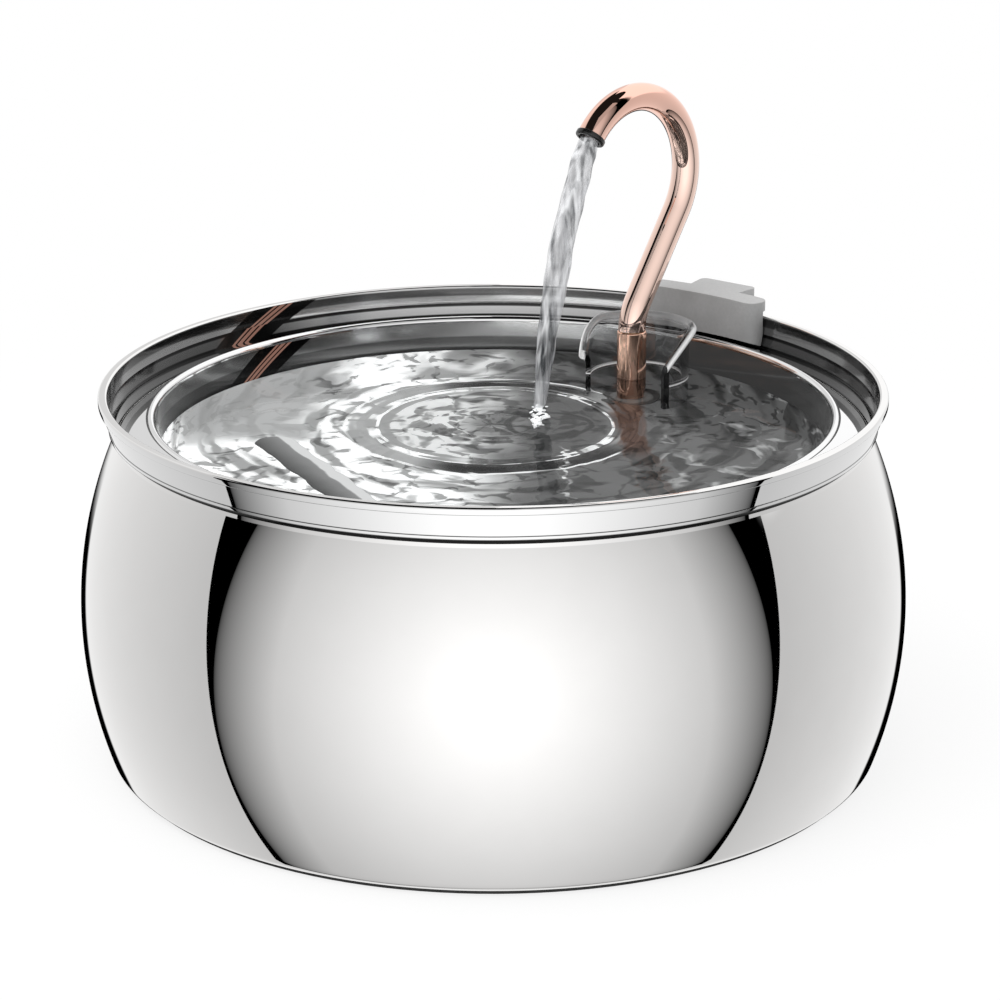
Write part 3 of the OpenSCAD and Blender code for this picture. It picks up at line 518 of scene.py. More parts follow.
def rim_inside():
    """The steel inside the rim, with painted shade: dark where the fold shades it, black painted shadow in
    its two seams, darker toward the sides, and the spout's painted reflection.
    """
    made, tree, bsdf, where = finish("shaded_stainless", Metallic=0.78)
    x, _, height = add(tree, SPLIT, (where,)).node.outputs
    # Painted shade by height down the fold, with black painted shadow in the crease and at the tray's edge
    stops = (
        (99.0, 0.01), (100.5, 0.01), (100.8, 0.42), (102.8, 0.48), (103.1, 0.03), (103.95, 0.03),
        (104.2, 1.0), (106.2, 1.0), (106.6, 0.3), (108.6, 0.16), (109.2, 0.9), (110.0, 0.9),
    )
    wipe_and_riser_reflection = add(tree, NOISE, {"Vector": where, "Scale": 1 / mm(8), "Detail": 2.0})
    # Painted shade: darker toward the bowl's two sides
    wide = add(tree, MATH, (x,), operation="ABSOLUTE")
    side = add(tree, RANGE, (wide, mm(40), mm(85), 1.0, 0.18))
    base = add(tree, MATH, (bands(tree, height, stops), side), operation="MULTIPLY")
    # The spout's painted reflection glows in its black patch
    spout_reflection_mask, painted_reflection = painted_spout_reflection(tree, where, 130.6, mm(105))
    fill(tree, bsdf, {
        "Base Color": add(tree, MIX, {0: spout_reflection_mask, 6: base, 7: colour("#191919")}, **TINTS),
        "Roughness": add(tree, RANGE, (wipe_and_riser_reflection, 0.0, 1.0, 0.05, 0.14)),
        "Emission Color": painted_reflection,
        "Emission Strength": spout_reflection_mask,
    })
    return made


def rim_outside():
    """The steel of the rim's band, with fine dark lines of painted shade along its hem and its two creases.
    """
    made, tree, bsdf, where = finish("rolled_stainless", Metallic=1.0)
    stops = (
        (99.5, 0.2), (99.95, 0.2), (100.05, STEEL), (100.65, STEEL), (100.72, 0.25), (100.9, 0.25),
        (101.0, STEEL), (107.25, STEEL), (107.35, 0.3), (107.5, 0.3), (107.6, STEEL), (110.0, STEEL),
    )
    film = add(tree, NOISE, {"Vector": where, "Scale": 1 / mm(9)})
    fill(tree, bsdf, {
        "Base Color": bands(tree, add(tree, SPLIT, (where,), 2), stops),
        "Roughness": add(tree, RANGE, (film, 0.0, 1.0, 0.012, 0.022)),
    })
    return made


def ripple_light(tree, where):
    """The painted light that ripples throw on the tray's floor, and the riser's painted reflection in it as
    a dark streak.
    """
    x, y, _ = add(tree, SPLIT, (where,)).node.outputs
    # Water bends what is under it: each pattern is swayed from its place by so many millimetres
    drift = add(tree, NOISE, {"Vector": where, "Scale": 1 / mm(24), "Detail": 3.0}, "Color")
    centred = add(tree, VECTOR, (drift, (0.5, 0.5, 0.5)), operation="SUBTRACT")
    swayed = {
        reach: add(tree, VECTOR, (centred, (mm(reach), mm(reach), 0), where), operation="MULTIPLY_ADD")
        for reach in (2.5, 5, 7, 9, 26, 34)
    }
    loose_x, loose_y, _ = add(tree, SPLIT, (swayed[34],)).node.outputs
    ring_y = RING_AT[1] + SUNK
    ring_at = (RING_AT[0], ring_y, TRAY_FLOOR)

    # Dark streaks of painted shade run round the place where the water lands, and finer flecks of it lie
    # between them
    from_ring = add(tree, VECTOR, (swayed[9], ring_at), operation="SUBTRACT")
    dx, dy, _ = add(tree, SPLIT, (from_ring,)).node.outputs
    far = add(tree, VECTOR, (from_ring,), "Value", operation="LENGTH")
    back_x = add(tree, MATH, (dx, -1.0), operation="MULTIPLY")
    round_it = add(tree, MATH, (dy, back_x), operation="ARCTAN2")
    rows = add(tree, MATH, (far, 1 / mm(6.5)), operation="MULTIPLY")
    turns = add(tree, MATH, (round_it, 2.6), operation="MULTIPLY")
    spun = add(tree, "ShaderNodeCombineXYZ", (rows, turns))
    streak = add(tree, NOISE, {"Vector": spun, "Scale": 1.0, "Detail": 1.6, "Distortion": 0.5})
    fine, cloud = (
        add(tree, NOISE, {"Vector": swayed[26], "Scale": 1 / size, "Detail": detail, "Distortion": bend})
        for size, detail, bend in ((mm(6.5), 1.6, 0.8), (mm(10), 2.0, 0.6))
    )

    # The painted light is white at the left and grey at the right, with a painted haze at the far left
    haze = patch(tree, (loose_x, mm(-46), mm(-60)), (loose_y, mm(16), mm(30)))
    tone = add(tree, MIX, {0: patch(tree, (loose_x, mm(12), mm(-14))), 2: 0.34, 3: 0.98})
    coats = [
        (haze, 0.64),
        (patch(tree, (streak, 0.49, 0.62), (haze, 0.0, 1.0, 0.42, 0.1)), 0.0),
        (patch(tree, (fine, 0.53, 0.64), (haze, 0.0, 1.0, 0.4, 0.08)), 0.0),
    ]
    for share, grey in coats:
        tone = add(tree, MIX, {0: share, 2: tone, 3: grey})
    # A painted gleam of light lies at the far right
    far_right = ((x, mm(38), mm(56)), (y, SUNK + mm(48), SUNK + mm(22)))
    gleam = patch(tree, (cloud, 0.56, 0.68, 0.0, 0.27), *far_right)
    tone = add(tree, MATH, (tone, gleam), operation="ADD")

    # The big ripple throws a painted grey band edged with painted white light, with painted black shade in
    # front and behind, and dims the painted light inside it a little
    ring = add(tree, VECTOR, (swayed[2.5], ring_at), operation="SUBTRACT")
    ring = add(tree, VECTOR, (ring, (1, 0.93, 0)), operation="MULTIPLY")
    out = add(tree, VECTOR, (ring,), "Value", operation="LENGTH")
    west = [(x, mm(4), mm(-20))]
    back = [(x, mm(-20), mm(-8)), (y, ring_y + mm(26), ring_y + mm(38))]
    front = [(x, mm(-24), mm(-8)), (y, ring_y - mm(14), ring_y - mm(30))]
    coats = [(patch(tree, (out, mm(34), mm(32), 0.0, 0.14)), 0.0)]
    for radius, half, grey, spans in (
        (39.9, 2.8, 0.58, []),
        (33.4, 2.0, 0.55, west),
        (39.7, 1.9, 0.05, back),
        (39.8, 4.4, 0.0, front),
        (35.8, 0.8, 1.0, [(fine, 0.6, 0.45, 0.3, 1.0)]),
        (43.8, 0.7, 0.95, [(streak, 0.6, 0.45, 0.3, 1.0)]),
    ):
        band = stroke(tree, out, mm(radius), mm(half * 0.7), mm(half * 1.1), 0.92, *spans)
        coats.append((band, grey))

    # A small ring of painted shade stands round the stream, and a thin painted bright thread runs forward
    # from it
    entry_at, entry_r = (mm(16.6), ring_y, TRAY_FLOOR), mm(12.3)
    entry = add(tree, VECTOR, (swayed[5], entry_at), "Value", operation="DISTANCE")
    coats.append((stroke(tree, entry, entry_r, mm(0.5), mm(1.3), 0.85), 0.12))
    thread_x, thread_sway = mm(20.7), mm(11)
    zigzag = add(tree, NOISE, {"Vector": where, "Scale": 1 / mm(7), "Detail": 2.0})
    wander = add(tree, MATH, (zigzag, thread_sway, x), operation="MULTIPLY_ADD")
    ends = [(y, mm(18), mm(10)), (y, mm(-38), mm(-20)), (fine, 0.62, 0.4, 0.2, 0.9)]
    thread = stroke(tree, wander, thread_x + thread_sway / 2, mm(0.3), mm(0.9), 1.0, *ends)
    coats.append((thread, 0.95))

    # The copper riser's painted reflection runs toward the front as a dark brown streak
    riser_reflection_x = mm(41)
    bent_x = add(tree, SPLIT, (swayed[7],))
    wipe_and_riser_reflection = stroke(tree, bent_x, riser_reflection_x, mm(3.4), mm(5.2), 1.0, (y, mm(2), mm(20)))
    coats.append((add(tree, MATH, (wipe_and_riser_reflection, 0.92), operation="MULTIPLY"), 0.22))
    for share, grey in coats:
        tone = add(tree, MIX, {0: share, 2: tone, 3: grey})
    tone = add(tree, MATH, (tone, 0.0), operation="MAXIMUM")
    return add(tree, MATH, (tone, 2.2), operation="POWER"), wipe_and_riser_reflection


def tray_steel():
    """Steel that is a mirror in air, with painted shade on its dry wall; under water it is matt, with the
    painted light of the ripples.
    """
    made, tree, bsdf, where = finish("tray_stainless_painted_light")
    x, _, z = add(tree, SPLIT, (where,)).node.outputs
    tone, wipe_and_riser_reflection = ripple_light(tree, where)

    # Only the skin that looks up or inward touches the water
    outward = add(tree, VECTOR, (where, (1, 1, 0)), operation="MULTIPLY")
    outward = add(tree, VECTOR, (outward,), operation="NORMALIZE")
    outward = add(tree, VECTOR, (outward, (0, 0, 1)), operation="SUBTRACT")
    normal = add(tree, "ShaderNodeTexCoord", out="Normal")
    outward = add(tree, VECTOR, (normal, outward), "Value", operation="DOT_PRODUCT")
    wet = add(tree, MATH, (outward, 0.0), operation="LESS_THAN")
    for limit, which in ((WATER_Z, "LESS_THAN"), (TRAY_UNDER + mm(0.4), "GREATER_THAN")):
        within = add(tree, MATH, (z, limit), operation=which)
        wet = add(tree, MATH, (wet, within), operation="MULTIPLY")

    # The outer skin, the bead and what lies past it are plain polished steel
    far = add(tree, VECTOR, (where,), "Value", operation="LENGTH")
    plain = add(tree, MATH, (outward, 0.0), operation="GREATER_THAN")
    for value, limit in ((z, BEAD_TOP - mm(1.2)), (far, math.hypot(BEAD_R, EDGE_Z))):
        past = add(tree, MATH, (value, limit), operation="GREATER_THAN")
        plain = add(tree, MATH, (plain, past), operation="MAXIMUM")
    other = add(tree, MATH, (plain, wet), operation="MAXIMUM")
    wall = add(tree, MATH, (1.0, other), operation="SUBTRACT")

    # In air the wall has painted shade: darker toward the water and toward the pool's two sides
    stops = (
        (92.0, 0.07), (93.2, 0.08), (93.8, 0.28), (96.6, 0.33),
        (97.0, 0.78), (101.0, 0.86), (101.8, 1.0), (103.0, 1.0),
    )
    side = patch(tree, (x, mm(-35), mm(-75), 1.0, 0.22), (x, mm(30), mm(42), 1.0, 0.12))
    dim = add(tree, MATH, (bands(tree, z, stops), side), operation="MULTIPLY")
    air = add(tree, MIX, {0: plain, 2: dim, 3: STEEL})
    base = add(tree, MIX, {0: wet, 2: air, 3: tone})
    # The riser's painted reflection tints the floor copper
    riser_reflection_tint = (1.3, 0.78, 0.62, 1)
    wipe_and_riser_reflection = add(tree, MATH, (wipe_and_riser_reflection, wet), operation="MULTIPLY")
    warm = add(tree, MIX, {0: wipe_and_riser_reflection, 6: WHITE, 7: riser_reflection_tint}, **TINTS)
    base = add(tree, VECTOR, {0: warm, "Scale": base}, operation="SCALE")
    # The spout's painted reflection lies on the dry wall
    spout_reflection_mask, painted_reflection = painted_spout_reflection(tree, where, 136.0, mm(97))
    spout_reflection_mask = add(tree, MATH, (spout_reflection_mask, wall), operation="MULTIPLY")

    # The painted light that ripples gather glows brighter than the plain light round it, and so does the
    # spout's painted reflection
    lit = add(tree, MATH, (wet, tone), operation="MULTIPLY")
    lit = add(tree, MATH, (lit, 0.7, spout_reflection_mask), operation="MULTIPLY_ADD")
    # At the right the dry wall is an even dark grey, with a faint painted glow
    grey = add(tree, MATH, (patch(tree, (x, mm(30), mm(42))), wall), operation="MULTIPLY")
    mirror = add(tree, MIX, {0: plain, 2: 0.1, 3: 0.02})
    fill(tree, bsdf, {
        "Base Color": add(tree, MIX, {0: spout_reflection_mask, 6: base, 7: colour("#191919")}, **TINTS),
        "Metallic": add(tree, MATH, (1.0, wet), operation="SUBTRACT"),
        "Roughness": add(tree, MIX, {0: wet, 2: mirror, 3: 0.5}),
        "Emission Color": add(tree, MIX, {0: spout_reflection_mask, 6: warm, 7: painted_reflection}, **TINTS),
        "Emission Strength": add(tree, MATH, (grey, 0.035, lit), operation="MULTIPLY_ADD"),
    })
    return made


water = pool_water()
stream_water = falling_water()
smoked_acrylic = clear_guard()
# Painted highlight: pale on the bent tube, rosier over its arch; the riser is duller, and darker with
# painted shade under the water
spout_copper = plated("rose_copper_spout", mm(158), mm(181), "#FFE0D2", "#FFCDBB", (0.01, 0.03))
copper_plating = plated(
    "rose_copper_riser", WATER_Z - mm(0.3), WATER_Z + mm(0.3), "#AE8470", "#FFD2BA", (0.06, 0.12)
)

SLOT_FINISHES = {
    "polished_steel": polished_steel,
    "copper_plating": copper_plating,
    "turned_brass": turned_brass,
    "clear_plastic": smoked_acrylic,
    "black_plastic": black_abs,
    "grey_plastic": grey_abs,
    "white_plastic": white_abs,
    "dark_plastic": dark_abs,
    "clear_silicone": silicone,
    "black_rubber": black_rubber,
    "core_steel": core_steel,
    "enamelled_wire": enamelled_wire,
    "epoxy": epoxy,
    "ceramic": ceramic,
    "ferrite": ferrite,
    "foam": foam,
    "filter_wool": filter_wool,
    "carbon": carbon,
}
for part in frame["record"]["subparts"]:
    for slot in nodes[part["node"]].material_slots:
        slot.material = SLOT_FINISHES[part["material_slot"]]


# ---- Bowl ----


def bowl_outline():
    """The bowl's sheet: up the outside, over the rim, and back down the inside."""
    belly_c = BELLY_R - BELLY_ARC
    heel_z = FOOT_TOP + HEEL
    heel_r = belly_c + math.sqrt((BELLY_ARC - HEEL) ** 2 - (BELLY_Z - heel_z) ** 2)
    heel_a = math.degrees(math.atan2(heel_z - BELLY_Z, heel_r - belly_c))
    neck_a = math.degrees(math.acos((NECK_R - belly_c) / BELLY_ARC))
    neck_z = BELLY_Z + BELLY_ARC * math.sin(math.radians(neck_a))
    neck_top = neck_z + NECK_BAND
    cone_r = RIM_R - HEM_STEP
    hem_z = RIM_TOP - HEM
    fold_z = RIM_TOP - FOLD
    rim_in = RIM_R - RIM_LAND
    slope = (cone_r - CREASE_R) / (hem_z - CREASE_Z)
    # The belly's curve runs on up under the band of the rim, which stands proud of it
    tuck_z = CREASE_Z - CREASE_H
    tuck_a = math.degrees(math.asin((tuck_z - BELLY_Z) / BELLY_ARC))
    lip = mm(0.2)

    outside = [(0, FOOT_TOP)]
    outside += arc((heel_r, heel_z), HEEL, -90, heel_a, 12)
    outside += arc((belly_c, BELLY_Z), BELLY_ARC, heel_a, tuck_a, 100)[1:]
    rim = eased(
        [
            (*outside[-1], 0),
            (CREASE_R + lip, tuck_z, mm(0.1)),
            (CREASE_R + lip, CREASE_Z, mm(0.08)),
            (CREASE_R, CREASE_Z + mm(0.1), 0),
            (cone_r, hem_z - mm(0.1), mm(0.1)),
            (RIM_R, hem_z, mm(0.15)),
            (RIM_R, RIM_TOP, mm(0.8)),
            (rim_in, RIM_TOP, mm(0.8)),
            (rim_in - FOLD_LEAN, fold_z, mm(0.12)),
            (CREASE_R - SHEET + slope * (fold_z - CREASE_Z), fold_z, mm(0.1)),
            (CREASE_R - SHEET, CREASE_Z, mm(1.5)),
            (NECK_R - SHEET, neck_top, mm(1.5)),
            (NECK_R - SHEET, neck_z, 0),
        ],
        6,
    )
    inside = arc((belly_c, BELLY_Z), BELLY_ARC - 2 * SHEET, neck_a, heel_a, 60)
    inside += arc((heel_r, heel_z), HEEL - SHEET, heel_a, -90, 8)
    return outside + rim[1:] + inside + [(0, FOOT_TOP + SHEET)]


bowl = mesh_of("steel_bowl", *turned(bowl_outline(), 360), crease=40)
place(bowl, "base", polished_steel, "polished_steel", "outer_bowl")

# The rim's two sides have finishes of their own, with painted shade and the spout's painted reflection, and
# its band catches light as if upright
bowl.data.materials.append(rim_inside())
bowl.data.materials.append(rim_outside())
cone = (RIM_R - HEM_STEP - CREASE_R) / (RIM_TOP - HEM - CREASE_Z)
normals = [corner.vector.copy() for corner in bowl.data.corner_normals]
for face in bowl.data.polygons:
    x, y, z = face.center
    out = math.hypot(x, y)
    wall = CREASE_R + (z - CREASE_Z) * cone
    if z > CREASE_Z - mm(3) and out < min(wall, RIM_R - RIM_LAND + mm(0.4)) - mm(0.4):
        face.material_index = 1
    elif z > CREASE_Z - CREASE_H and out > wall - mm(0.3):
        face.material_index = 2
        if CREASE_Z + mm(0.2) < z < RIM_TOP - HEM - mm(0.2):
            for i in face.loop_indices:
                at = bowl.data.vertices[bowl.data.loops[i].vertex_index].co
                normals[i] = Vector((at.x, at.y, 0)).normalized()
bowl.data.normals_split_custom_set(normals)


# ---- Tray ----


def tray_outline():
    """The tray's sheet: over its floor and bead to the edge roll, and back underneath."""
    corner = (TRAY_R - TRAY_FILLET, TRAY_FLOOR + TRAY_FILLET)
    bead_z = BEAD_TOP - BEAD
    over = [(0, TRAY_FLOOR)] + arc(corner, TRAY_FILLET, -90, 0, 14)
    over += arc((BEAD_R, bead_z), BEAD, 180, 30, 20)
    over += arc((EDGE_R, EDGE_Z), EDGE_ROLL, 75, -120, 12)
    under = [(BEAD_R + BEAD, bead_z - SHEET), (BEAD_R - BEAD + SHEET, bead_z - BEAD)]
    under += arc(corner, TRAY_FILLET + SHEET, 0, -90, 14)
    return over + under + [(0, TRAY_UNDER)]


def turned_xy(points, angle, at=(0, 0)):
    """Points (x, y) turned about the origin and then moved."""
    c, s = math.cos(angle), math.sin(angle)
    return [(x * c - y * s + at[0], x * s + y * c + at[1]) for x, y in points]


def slot_outline(length, width, steps=14):
    ends = arc(((length - width) / 2, 0), width / 2, -90, 90, steps)
    return ends + arc(((width - length) / 2, 0), width / 2, 90, 270, steps)


tray = mesh_of("steel_tray", *turned(tray_outline(), 360), crease=40)
slot = turned_xy(slot_outline(SLOT_L, SLOT_W), SLOT_TURN, SLOT_AT)
hole = turned_xy(arc((0, 0), GROMMET_HOLE, 0, 352.5, 47), 0, SPOUT[:2])
notch_in, notch_half = EDGE_R - NOTCH_W / 2, NOTCH_W / 2
notch = [(notch_in, -notch_half), (RIM_R, -notch_half), (RIM_R, notch_half), (notch_in, notch_half)]
below, above = TRAY_UNDER - mm(1), TRAY_FLOOR + mm(1)
cut(
    tray,
    [
        prism("slot_cut", slot, below, above),
        prism("hole_cut", hole, below, above),
        prism("notch_cut", turned_xy(notch, GUIDE_DIR), EDGE_Z - mm(3), BEAD_TOP + mm(1)),
    ],
)
place(tray, "tray", tray_steel(), "polished_steel", "drinking_tray")


# ---- Riser and spout ----


def in_neck_plane(across, side, up):
    """A point in the upright plane that the gooseneck bends in."""
    c, s = math.cos(LEAN_DIR), math.sin(LEAN_DIR)
    return (SPOUT.x + across * c - side * s, SPOUT.y + across * s + side * c, up)


def neck_line():
    """The gooseneck's middle line: outward distance, height and lean at each step."""
    bend = 18
    arch = 110
    line = []
    for i in range(bend + 1):
        a = LEAN * i / bend
        line.append((BEND_R * (1 - math.cos(a)), RISER_TOP + TURN_GAP + BEND_R * math.sin(a), a))
    mid_s = line[-1][0] + LEAN_L * math.sin(LEAN) - ARCH_R * math.cos(LEAN)
    mid_z = line[-1][1] + LEAN_L * math.cos(LEAN) + ARCH_R * math.sin(LEAN)
    for i in range(arch + 1):
        a = LEAN - ARCH_TURN * i / arch
        line.append((mid_s + ARCH_R * math.cos(a), mid_z - ARCH_R * math.sin(a), a))
    return line


def hoop(at, radius, sides):
    """A ring of points square to the gooseneck's middle line."""
    made = []
    for k in range(sides):
        t = 2 * math.pi * k / sides
        across = at[0] + radius * math.cos(t) * math.cos(at[2])
        up = at[1] - radius * math.cos(t) * math.sin(at[2])
        made.append(in_neck_plane(across, radius * math.sin(t), up))
    return made


line = neck_line()
mouth = line[-1]
outer = [hoop(at, TUBE_R, 56) for at in line]
inner = [hoop(at, TUBE_BORE, 56) for at in line]
gooseneck = mesh_of("copper_gooseneck", *swept(outer + inner[::-1] + outer[:1]))
place(gooseneck, "spout", spout_copper, "copper_plating", "gooseneck")

riser_outline = eased(
    [
        (RISER_R - mm(0.6), RISER_FOOT, 0),
        (RISER_R, RISER_FOOT, mm(0.2)),
        (RISER_R, RISER_TOP, mm(0.35)),
        (SOCKET_R, RISER_TOP, mm(0.1)),
        (SOCKET_R, RISER_TOP - SOCKET_L, mm(0.2)),
        (TUBE_BORE, RISER_TOP - SOCKET_L, mm(0.1)),
        (TUBE_BORE, RISER_FOOT, 0),
    ]
)
points, faces = turned(riser_outline, 96)
riser = mesh_of("copper_riser", [Vector(p) + SPOUT for p in points], faces)
place(riser, "riser", copper_plating, "copper_plating", "riser_tube")

# The black sleeve at the mouth stands a little proud of the tube, with a rounded edge
sleeve_outline = eased(
    [
        (TUBE_BORE, 0, 0),
        (MOUTH_R, 0, mm(0.3)),
        (MOUTH_R, MOUTH_L, mm(0.5)),
        (TUBE_BORE, MOUTH_L, mm(0.3)),
        (TUBE_BORE, mm(0.01), 0),
    ]
)
points, faces = turned(sleeve_outline, 72)
tilt = Matrix.Translation(in_neck_plane(mouth[0], 0, mouth[1]))
tilt = tilt @ Matrix.Rotation(LEAN_DIR, 4, "Z") @ Matrix.Rotation(mouth[2], 4, "Y")
sleeve = mesh_of("mouth_sleeve", [tilt @ Vector(p) for p in points], faces)
place(sleeve, "spout", black_abs, "black_plastic", "mouth_ring")


# ---- Clear guard ----


def guard_height(angle):
    """How far the lip has swept down at an angle from the guard's back."""
    start = GUARD_WRAP - math.radians(50)
    t = max(0.0, (abs(angle) - start) / (GUARD_WRAP - start))
    return GUARD_SWEEP * t * t


def guard_foot(angle):
    """Where the wall ends: on the tray's floor, or cut away over the tray's own wall."""
    r = math.hypot(GUARD_AT + GUARD_R * math.cos(angle), GUARD_R * math.sin(angle))
    flat = TRAY_R - TRAY_FILLET
    if r < flat:
        return TRAY_FLOOR
    r += mm(0.3)
    if r > TRAY_R:
        wall = (BEAD_TOP - BEAD - TRAY_FLOOR - TRAY_FILLET) / (BEAD_R - BEAD - TRAY_R)
        return TRAY_FLOOR + TRAY_FILLET + (r - TRAY_R) * wall
    return TRAY_FLOOR + TRAY_FILLET - math.sqrt(TRAY_FILLET**2 - (r - flat) ** 2)


def guard_section(angle):
    """The wall's outline at an angle: up its inner face, round the lip and under it."""
    lip_r = GUARD_WALL / 2 + GUARD_LIP / 4
    top = GUARD_TOP - guard_height(angle)
    foot = guard_foot(angle)
    inside = GUARD_R - GUARD_WALL
    under = top - 2 * lip_r
    lip = arc((GUARD_R + GUARD_LIP - lip_r, top - lip_r), lip_r, 150, -100, 20)
    return [(GUARD_R, foot), (inside, foot), (inside, under)] + lip + [(GUARD_R, under - GUARD_LIP / 2)]


GUARD_STEPS = 130
c, s = math.cos(GUARD_DIR), math.sin(GUARD_DIR)
slices = []
for i in range(GUARD_STEPS + 1):
    angle = GUARD_WRAP * (2 * i / GUARD_STEPS - 1)
    section = []
    for r, z in guard_section(angle):
        x, y = GUARD_AT + r * math.cos(angle), r * math.sin(angle)
        section.append((x * c - y * s, x * s + y * c, z))
    slices.append(section)
points, faces = swept(slices)
count = len(slices[0])
faces += [list(range(count))[::-1], [GUARD_STEPS * count + j for j in range(count)]]
guard = mesh_of("clear_guard", points, faces, crease=50)
place(guard, "tray", smoked_acrylic, "clear_plastic", "tube_guard")
# Seen end on, the wall's right edge is dark with painted shade; the faces are in slices of one section each
guard.data.materials.append(painted_dark_edge)
for i, face in enumerate(guard.data.polygons):
    wall_face = i < 4 * count and i % count in (0, 1, count - 1)
    if wall_face or i == len(guard.data.polygons) - 2:
        face.material_index = 1


# ---- Cord guide: the moulding's edges are broken by a small radius ----


def softened(node, name, width):
    """A copy of a solid with its hard edges rounded."""
    mesh = nodes[node].data.copy()
    piece = bpy.data.objects.new(name, mesh)
    scene.collection.objects.link(piece)
    shape = bmesh.new()
    shape.from_mesh(mesh)
    bmesh.ops.remove_doubles(shape, verts=shape.verts, dist=mm(0.01))
    bmesh.ops.dissolve_limit(shape, angle_limit=math.radians(1.5), verts=shape.verts, edges=shape.edges)
    shape.to_mesh(mesh)
    shape.free()
    round_off = piece.modifiers.new("round_off", "BEVEL")
    round_off.width = width
    round_off.segments = 4
    round_off.limit_method = "ANGLE"
    round_off.angle_limit = math.radians(40)
    return settled(piece)


guide = softened("cord_guide", "guide_block", mm(0.5))
place(guide, "cord_guide", grey_abs, "grey_plastic", "cord_guide")


# ---- Water ----


def water_shape():
    """The pool: a fine net for its surface, and sides that follow the tray."""
    sides, rings = 360, 170
    corner = (TRAY_R - TRAY_FILLET, TRAY_FLOOR + TRAY_FILLET)
    wall = (BEAD_R - BEAD - TRAY_R) / (BEAD_TOP - BEAD - TRAY_FLOOR - TRAY_FILLET)
    edge = TRAY_R + (WATER_Z - TRAY_FLOOR - TRAY_FILLET) * wall + mm(0.3)
    top = [(edge * (1 - (i / rings)), WATER_Z) for i in range(rings + 1)]
    below = [(0, TRAY_FLOOR - mm(0.2))] + arc(corner, TRAY_FILLET + mm(0.2), -90, 0, 6)
    return mesh_of("water_pool", *turned(below + top[:-1] + [(0, WATER_Z)], sides))


def shape_tree(name, inputs):
    """A new tree with its named inputs (name: kind of value), and the sockets that give them."""
    tree = bpy.data.node_groups.new(name, "GeometryNodeTree")
    for label, kind in {"Geometry": "Geometry", **inputs, "Material": "Material"}.items():
        tree.interface.new_socket(label, in_out="INPUT", socket_type="NodeSocket" + kind)
    tree.interface.new_socket("Geometry", in_out="OUTPUT", socket_type="NodeSocketGeometry")
    return tree, add(tree, "NodeGroupInput").node.outputs


def shape_out(tree, given, shape):
    """Ends a tree: its instances are made real and take the finish."""
    whole = add(tree, "GeometryNodeRealizeInstances", (shape,))
    dressed = add(tree, "GeometryNodeSetMaterial", {"Geometry": whole, "Material": given["Material"]})
    add(tree, "NodeGroupOutput", (dressed,))
    return tree


def ripple_tree():
    """Rings round the place where the water lands, over wavelets of a set size."""
    sizes = (
        "Level", "Ring Radius", "Ring Height", "Ring Width",
        "Wavelet", "Wavelet Height", "Wall Radius", "Open Radius",
    )
    tree, given = shape_tree("ripples", {**dict.fromkeys(sizes, "Float"), "Ring Centre": "Vector"})
    x, y, z = add(tree, SPLIT, (add(tree, "GeometryNodeInputPosition"),)).node.outputs
    flat = add(tree, "ShaderNodeCombineXYZ", (x, y))
    from_ring = add(tree, VECTOR, (flat, given["Ring Centre"]), "Value", operation="DISTANCE")

    # Each ring is a smooth crest, or a trough where its height is below nought
    total = 0.0
    for share, height, width in ((1.0, 1.0, 1.4), (0.88, 0.6, 1.0), (0.4, 0.8, 1.0), (0.27, -0.7, 1.0)):
        radius = add(tree, MATH, (given["Ring Radius"], share), operation="MULTIPLY")
        off = add(tree, MATH, (from_ring, radius), operation="SUBTRACT")
        broad = add(tree, MATH, (given["Ring Width"], width), operation="MULTIPLY")
        steps = add(tree, MATH, (off, broad), operation="DIVIDE")
        square = add(tree, MATH, (steps, steps), operation="MULTIPLY")
        minus = add(tree, MATH, (square, -1.0), operation="MULTIPLY")
        bell = add(tree, MATH, (minus,), operation="EXPONENT")
        tall = add(tree, MATH, (given["Ring Height"], height), operation="MULTIPLY")
        crest = add(tree, MATH, (bell, tall), operation="MULTIPLY")
        total = add(tree, MATH, (total, crest), operation="ADD")
    # The wavelets are of three sizes, the finest of them low
    for share, height, bend in ((1.0, 1.0, 1.0), (0.5, 0.22, 0.5), (2.4, 1.6, 0.4)):
        size = add(tree, MATH, (given["Wavelet"], share), operation="MULTIPLY")
        scale = add(tree, MATH, (1.0, size), operation="DIVIDE")
        rough = add(tree, NOISE, {"Vector": flat, "Scale": scale, "Detail": 1.0, "Distortion": bend})
        level = add(tree, MATH, (rough, 0.5), operation="SUBTRACT")
        tall = add(tree, MATH, (given["Wavelet Height"], height), operation="MULTIPLY")
        swell = add(tree, MATH, (level, tall), operation="MULTIPLY")
        total = add(tree, MATH, (total, swell), operation="ADD")

    # The swell dies out between open water and the wall
    out = add(tree, VECTOR, (flat,), "Value", operation="LENGTH")
    calm = add(tree, RANGE, (out, given["Wall Radius"], given["Open Radius"]))
    swell = add(tree, MATH, (total, calm), operation="MULTIPLY")
    lift = add(tree, "ShaderNodeCombineXYZ", {2: swell})
    low = add(tree, MATH, (given["Level"], mm(0.01)), operation="SUBTRACT")
    on_top = add(tree, "FunctionNodeCompare", (z, low), data_type="FLOAT", operation="GREATER_THAN")
    lifted = {"Geometry": given["Geometry"], "Selection": on_top, "Offset": lift}
    return shape_out(tree, given, add(tree, "GeometryNodeSetPosition", lifted))


def shaped_by(piece, tree, values):
    """Runs a node tree on a piece with its named inputs set, and keeps the mesh it makes."""
    change = piece.modifiers.new(tree.name, "NODES")
    change.node_group = tree
    for item in tree.interface.items_tree:
        if item.in_out == "INPUT" and item.name in values:
            change[item.identifier] = values[item.name]
    return settled(piece)


